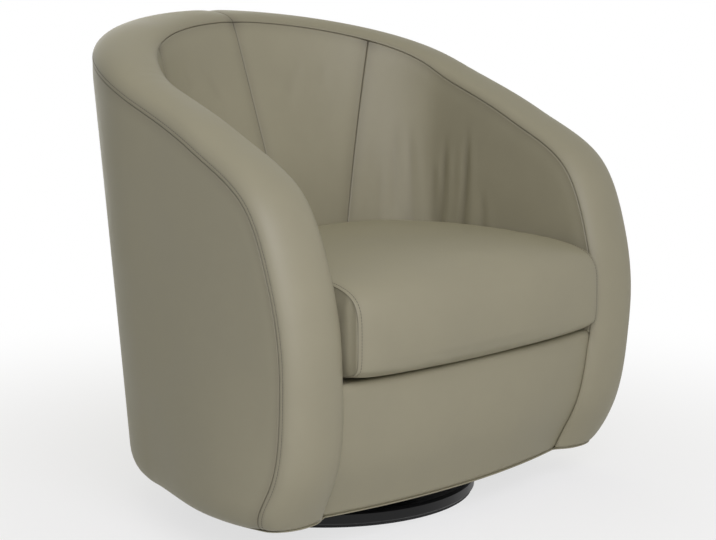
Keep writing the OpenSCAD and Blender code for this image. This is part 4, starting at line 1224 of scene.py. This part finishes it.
class TUB_OT_cushion(bpy.types.Operator):
    """Make the loose seat cushion: sew its cover, blow it up, and press in its seams."""

    bl_idname = "tub_chair.cushion"
    bl_label = "Seat cushion"

    columns, steps = 56, 120
    cap_rings, cap_power = 20, 1.5
    side_inset = 4.5 * MM
    # Steps round the profile from the middle of the back strip to its seams
    strip_steps = 15
    # The top stitching's ring, and the steps round the profile at which it starts and stops
    stitch_ring, stitch_start, stitch_stop = 4, 5, 102
    # The side panels ripple behind the front seam, where the wrap pulls on them
    ripple, ripple_w = 1.3 * MM, 22 * MM
    # The cloth under pressure
    quality, mass, pressure, frames = 6, 0.4, 4, 20
    # Points that are measured against the seams at one time
    batch = 4000
    # The zip's length as a share of the back strip's, and what stands out from the strip
    zip_share = 0.81
    tape_from, tape_off, tape = 0.8 * MM, 0.2 * MM, 0.5 * MM
    coil_off, coil_flat = 0.9 * MM, 0.4
    coil_steps, coil_sides = 8, 5
    slider_off, pull_off = 1.2 * MM, 0.9 * MM
    # Half sizes of the slider and of its pull, and the points round and up them
    slider = (4.5 * MM, 1.5 * MM, 3.6 * MM)
    pull = (2.6 * MM, 0.7 * MM, 11 * MM)
    cast_round, cast_up, cast_power = 24, 11, 0.5

    def execute(self, context):
        chair = Chair(context)
        shape = context.scene.cushion_shape
        cushion = Cushion(shape, chair.wall)
        across = np.sin(np.pi / 2 * np.linspace(-1, 1, self.columns + 1))[:, None]
        turn = (2 * np.pi * np.arange(self.steps) / self.steps)[None, :]
        rings = cushion.point(across, turn + 0 * across, shape.slack, self.side_inset)
        points, faces, seam_rows = self.close(rings)
        thing = new_mesh("seat_cushion", points, faces)
        self.blow_up(thing, seam_rows, shape)
        self.press_seams(thing, seam_rows, chair.sizes, cushion)
        self.stitch(thing, chair)
        self.zip(thing, chair)
        finish_piece(thing, chair.leather, "cushion",
                     ["cushion_core", "cushion_wrap", "cushion_gusset_left", "cushion_gusset_right",
                      "cushion_back_strip"])
        return {"FINISHED"}

    def stitch(self, thing, chair):
        """Top stitching on the wrap, beside each side seam, from the back over the top to the front."""
        for ring, side in ((self.stitch_ring, "left"), (self.columns - self.stitch_ring, "right")):
            at = [ring * self.steps + j for j in range(self.stitch_start, self.stitch_stop)]
            points = np.array([thing.data.vertices[i].co for i in at])
            normals = np.array([thing.data.vertices[i].normal for i in at])
            row = stitch_row("cushion_stitching_" + side, points, normals, chair.sizes)
            finish_piece(row, chair.thread, "cushion")

    def zip(self, thing, chair):
        """The zip along the middle of the back strip: two tapes, a nylon coil, a slider and its pull."""
        sizes = chair.sizes
        at = [i * self.steps for i in range(self.columns + 1)]
        line = np.array([thing.data.vertices[i].co for i in at])
        half = self.zip_share * line[:, 0].max()
        x = np.arange(-half, half, sizes.coil_pitch / self.coil_steps)
        line = np.stack([x] + [np.interp(x, line[:, 0], line[:, i]) for i in (1, 2)], -1)
        out, up = np.array([0, 1, 0]), np.array([0, 0, 1])
        cloth, steel = black_lining_cloth(chair.colours), zinc_plated_steel(chair.colours)
        for side, name in ((-1, "zip_tape_low"), (1, "zip_tape_high")):
            rows = np.stack([line[:: self.coil_steps] + side * up * far + out * self.tape_off
                             for far in (self.tape_from, sizes.zip_w / 4, sizes.zip_w / 2)])
            finish_piece(padded_sheet(name, rows + out * self.tape, rows), cloth, "cushion")
        turn = 2 * np.pi * np.arange(len(x)) / self.coil_steps
        spine = line + out * self.coil_off + up * (sizes.coil_r * np.cos(turn))[:, None]
        spine += out * (self.coil_flat * sizes.coil_r * np.sin(turn))[:, None]
        forward = unit(np.gradient(spine, axis=0))
        side = unit(np.cross(forward, out))
        points = wire_points(spine, side, np.cross(side, forward), sizes.zip_wire / 2, self.coil_sides)
        coil = new_mesh("zip_coil", points, wire_faces(0, len(spine), self.coil_sides))
        finish_piece(coil, nylon_coil(chair.colours), "cushion", ["cushion_zip"])
        end = line[-1] + out * self.slider_off
        hung = end + out * self.pull_off - up * self.pull[2]
        finish_piece(self.lozenge("zip_slider", end, self.slider), steel, "cushion")
        finish_piece(self.lozenge("zip_pull", hung, self.pull), steel, "cushion")

    def lozenge(self, name, centre, half):
        """A small cast piece with well rounded edges."""
        turn = 2 * np.pi * np.arange(self.cast_round) / self.cast_round
        rise = np.linspace(-np.pi / 2, np.pi / 2, self.cast_up + 2)[1:-1]

        def eased(v):
            return np.sign(v) * np.abs(v) ** self.cast_power

        ring = np.stack([
            eased(np.cos(rise))[:, None] * eased(np.cos(turn))[None] * half[0],
            eased(np.cos(rise))[:, None] * eased(np.sin(turn))[None] * half[1],
            eased(np.sin(rise))[:, None] * half[2] + 0 * turn[None],
        ], -1) + centre
        points = np.concatenate([ring.reshape(-1, 3), [centre - (0, 0, half[2]), centre + (0, 0, half[2])]])
        rows, count = ring.shape[:2]
        faces = tube_faces(0, rows, count)
        low, high = rows * count, rows * count + 1
        top = (rows - 1) * count
        for j in range(count):
            faces.append((low, (j + 1) % count, j))
            faces.append((high, top + j, top + (j + 1) % count))
        return new_mesh(name, points, faces)

    def close(self, rings):
        """Points and faces of the cover, with a cap of rings at each side."""
        columns, steps = rings.shape[:2]
        points = [rings.reshape(-1, 3)]
        faces = tube_faces(0, columns, steps)
        count = columns * steps
        for end, flip in ((0, False), (columns - 1, True)):
            rim = rings[end]
            middle = rim.mean(axis=0)
            last = end * steps
            for k in range(1, self.cap_rings):
                points.append(mix(rim, middle, (k / self.cap_rings) ** self.cap_power))
                for j in range(steps):
                    quad = (last + j, count + j, count + (j + 1) % steps, last + (j + 1) % steps)
                    faces.append(quad[::-1] if flip else quad)
                last = count
                count += steps
            points.append(middle[None])
            for j in range(steps):
                tri = (last + j, count, last + (j + 1) % steps)
                faces.append(tri[::-1] if flip else tri)
            count += 1
        seam_rows = [range(steps), range((columns - 1) * steps, columns * steps)]
        return np.concatenate(points), faces, seam_rows

    def blow_up(self, thing, seam_rows, shape):
        """Runs the cover as cloth under pressure, held at its seams, and keeps the result."""
        start = np.array([v.co for v in thing.data.vertices])
        held = thing.vertex_groups.new(name="held")
        held.add([v for row in seam_rows for v in row], 1, "REPLACE")
        cloth = thing.modifiers.new("Cover", "CLOTH")
        cloth.settings.quality = self.quality
        cloth.settings.mass = self.mass
        cloth.settings.use_pressure = True
        cloth.settings.uniform_pressure_force = self.pressure
        cloth.settings.vertex_group_mass = "held"
        cloth.settings.effector_weights.gravity = 0
        cloth.point_cache.frame_start, cloth.point_cache.frame_end = 1, self.frames
        for step in range(1, self.frames + 1):
            bpy.context.scene.frame_set(step)
        evaluated = thing.evaluated_get(bpy.context.evaluated_depsgraph_get())
        end = np.array([v.co for v in evaluated.data.vertices])
        thing.modifiers.remove(cloth)
        bpy.context.scene.frame_set(1)
        move = end - start
        far = np.linalg.norm(move, axis=1, keepdims=True)
        move *= shape.swell * np.tanh(far / shape.swell) / np.maximum(far, 1e-9)
        thing.data.vertices.foreach_set("co", (start + move).ravel())
        thing.data.update()

    def press_seams(self, thing, seam_rows, sizes, cushion):
        """Presses the side seams in, and keeps the cover off the deck and the arms."""
        points = np.array([v.co for v in thing.data.vertices])
        normals = np.array([v.normal for v in thing.data.vertices])
        away = np.full(len(points), 1.0)
        for row in seam_rows:
            line = points[list(row)]
            for k in range(0, len(points), self.batch):
                part = slice(k, k + self.batch)
                near = np.linalg.norm(points[part, None] - line[None], axis=2).min(axis=1)
                away[part] = np.minimum(away[part], near)
        sink = sewn(away, sizes)
        wrap = (self.columns + 1) * self.steps
        for turn in (self.strip_steps, self.steps - self.strip_steps):
            row = points[turn:wrap:self.steps]
            rings = points[:wrap].reshape(self.columns + 1, self.steps, 3)
            beside = np.linalg.norm(rings - row[:, None], axis=-1).ravel()
            sink[:wrap] = np.minimum(sink[:wrap], sewn(beside, sizes))
        front = points[:, 1] - cushion.front - cushion.s.recess
        ripples = self.ripple * np.sin(2 * np.pi * front / self.ripple_w)
        ripples *= np.clip(2 - front / self.ripple_w, 0, 1)
        ripples *= ease(np.clip(away / self.ripple_w * 2, 0, 1))
        ripples[:wrap] = 0
        sink[:wrap] += stitched(away[:wrap], sizes)
        points += normals * (sink + ripples)[:, None]
        points[:, 2] = np.maximum(points[:, 2], cushion.low)
        points[:, 0] = np.clip(points[:, 0], -cushion.half, cushion.half)
        thing.data.vertices.foreach_set("co", points.ravel())
        # Painted shade: the cushion's seams are darkened in its colour
        mark_painted_seam_shade(thing, sink, sizes, CUSHION_SHADE_FADE)
        thing.data.update()


class TUB_OT_hidden(bpy.types.Operator):
    """Give the frame, the springs, the bearing and the base their materials."""

    bl_idname = "tub_chair.hidden"
    bl_label = "Frame and base"

    def execute(self, context):
        colours = context.scene.chair_colours
        slots = {
            "black_board": satin_black_lacquer, "black_rubber": sheet_rubber, "steel": zinc_plated_steel,
            "plywood": birch_plywood, "fibreboard": pressed_fibreboard, "black_cloth": black_lining_cloth,
            "zip_nylon": nylon_coil, "leather": corrected_grain_leather, "foam": cut_polyurethane_foam,
        }
        for part in frame["record"]["subparts"]:
            node = frame["nodes"][part["node"]]
            node.data.materials.clear()
            node.data.materials.append(slots[part["material_slot"]](colours))
        return {"FINISHED"}


# Stage


def looked_at(tree):
    """1 where the camera sees a surface, straight or in gloss or glass, and 0 for the surface's light."""
    rays = add(tree, "ShaderNodeLightPath").outputs
    seen = rays["Is Camera Ray"]
    for kind in ("Is Glossy Ray", "Is Transmission Ray"):
        either = add(tree, "ShaderNodeMath", links={0: seen, 1: rays[kind]}, operation="MAXIMUM")
        seen = either.outputs["Value"]
    return seen


def studio_floor(colours):
    """Seamless white studio floor: pale where the chair's shadow falls, and pure white further out."""
    made, tree, shader, coords = start_material("studio_floor")
    if tree is None:
        return made
    white_from, white_at, least = 0.3, 1.6, 0.7
    away = add(tree, "ShaderNodeVectorMath", links={0: coords}, operation="LENGTH")
    fade = add(tree, "ShaderNodeMapRange", {"From Min": white_from, "From Max": white_at, "To Min": least},
               {"Value": away.outputs["Value"]}, interpolation_type="SMOOTHSTEP")
    share = add(tree, "ShaderNodeMath", links={0: looked_at(tree), 1: fade.outputs["Result"]},
                operation="MULTIPLY")
    shader.inputs["Base Color"].default_value = rgba(colours.floor)
    shader.inputs["Roughness"].default_value = 0.9
    shader.inputs["Specular IOR Level"].default_value = 0.1
    glow = add(tree, "ShaderNodeEmission", {"Color": (1, 1, 1, 1), "Strength": 1})
    both = add(tree, "ShaderNodeMixShader", links={0: share.outputs["Value"], 1: shader.outputs["BSDF"],
                                                   2: glow.outputs["Emission"]})
    tree.links.new(both.outputs["Shader"], tree.nodes["Material Output"].inputs["Surface"])
    return made


def aimed(name, data, place, aim):
    """A lamp or a camera at a place, which faces a point."""
    thing = bpy.data.objects.new(name, data)
    thing.location = place
    thing.rotation_euler = (Vector(aim) - Vector(place)).to_track_quat("-Z", "Y").to_euler()
    bpy.context.scene.collection.objects.link(thing)
    return thing


class TUB_OT_stage(bpy.types.Operator):
    """Set up the floor, the soft light and the camera."""

    bl_idname = "tub_chair.stage"
    bl_label = "Stage"

    floor_size = 60
    sensor_w = 36
    # Place and width of each square lamp, and the tint of its light
    lamps = {
        "key": ((-1.6, -2.7, 1.9), 2.4, (0.91, 0.895, 1)),
        "fill": ((-3.2, -0.6, 1.4), 2.2, (0.5, 0.6, 1)),
        "top": ((0.2, 0.4, 3.2), 2, (1, 0.94, 0.68)),
        "back": ((1.1, 3.0, 1.1), 2.4, (1, 0.97, 0.92)),
    }
    lamp_aim = (0, 0, 0.4)
    world_tint = (1, 0.97, 0.84)

    def execute(self, context):
        scene = context.scene
        plan, colours = scene.stage_plan, scene.chair_colours
        half = self.floor_size / 2
        corners = [(-half, -half, 0), (half, -half, 0), (half, half, 0), (-half, half, 0)]
        floor = new_mesh("floor", corners, [(0, 1, 2, 3)])
        floor.data.materials.append(studio_floor(colours))
        self.light(scene, plan)
        camera = bpy.data.cameras.new("camera")
        camera.lens, camera.sensor_width = plan.focal, self.sensor_w
        scene.camera = aimed("camera", camera, plan.camera, plan.target)
        scene.view_settings.view_transform = "Standard"
        return {"FINISHED"}

    def light(self, scene, plan):
        """Lights the chair from all round, and from the front, the left, above and behind."""
        world = bpy.data.worlds.new("studio")
        world.use_nodes = True
        tree = world.node_tree
        sky = tree.nodes["Background"]
        sky.inputs["Color"].default_value = rgba(self.world_tint)
        sky.inputs["Strength"].default_value = plan.world
        white = add(tree, "ShaderNodeBackground", {"Color": (1, 1, 1, 1), "Strength": 1})
        both = add(tree, "ShaderNodeMixShader", links={0: looked_at(tree), 1: sky.outputs["Background"],
                                                       2: white.outputs["Background"]})
        tree.links.new(both.outputs["Shader"], tree.nodes["World Output"].inputs["Surface"])
        scene.world = world
        for name, (place, size, tint) in self.lamps.items():
            light = bpy.data.lights.new(name, "AREA")
            light.size, light.energy, light.color = size, getattr(plan, name), tint
            aimed(name, light, place, self.lamp_aim)


OPERATORS = (
    TUB_OT_hidden, TUB_OT_outside, TUB_OT_rim, TUB_OT_inside_back, TUB_OT_inside_arms, TUB_OT_front,
    TUB_OT_deck, TUB_OT_underside, TUB_OT_cushion, TUB_OT_stage,
)
GROUPS = {
    "tub_shape": TubShape, "cushion_shape": CushionShape, "sewing_sizes": SewingSizes,
    "chair_colours": ChairColours, "stage_plan": StagePlan,
}


class TUB_PT_panel(bpy.types.Panel):
    """Lists the steps of the chair and its values."""

    bl_label = "Tub chair"
    bl_idname = "TUB_PT_panel"
    bl_space_type = "VIEW_3D"
    bl_region_type = "UI"
    bl_category = "Tub chair"

    def draw(self, context):
        for step in OPERATORS:
            self.layout.operator(step.bl_idname)
        for name, group in GROUPS.items():
            box = self.layout.box()
            box.label(text=group.__doc__)
            for prop in group.__annotations__:
                box.prop(getattr(context.scene, name), prop)


def register():
    """Registers the classes and hangs the values on the scene."""
    for group in GROUPS.values():
        bpy.utils.register_class(group)
    for step in (*OPERATORS, TUB_PT_panel):
        bpy.utils.register_class(step)
    for name, group in GROUPS.items():
        setattr(bpy.types.Scene, name, bpy.props.PointerProperty(type=group))


def unregister():
    """Takes the values and the classes away again."""
    for name in GROUPS:
        delattr(bpy.types.Scene, name)
    for step in (TUB_PT_panel, *reversed(OPERATORS), *reversed(GROUPS.values())):
        bpy.utils.unregister_class(step)


def main():
    """Builds the whole scene."""
    register()
    for step in OPERATORS:
        area, name = step.bl_idname.split(".")
        getattr(getattr(bpy.ops, area), name)()


if __name__ == "__main__":
    main()
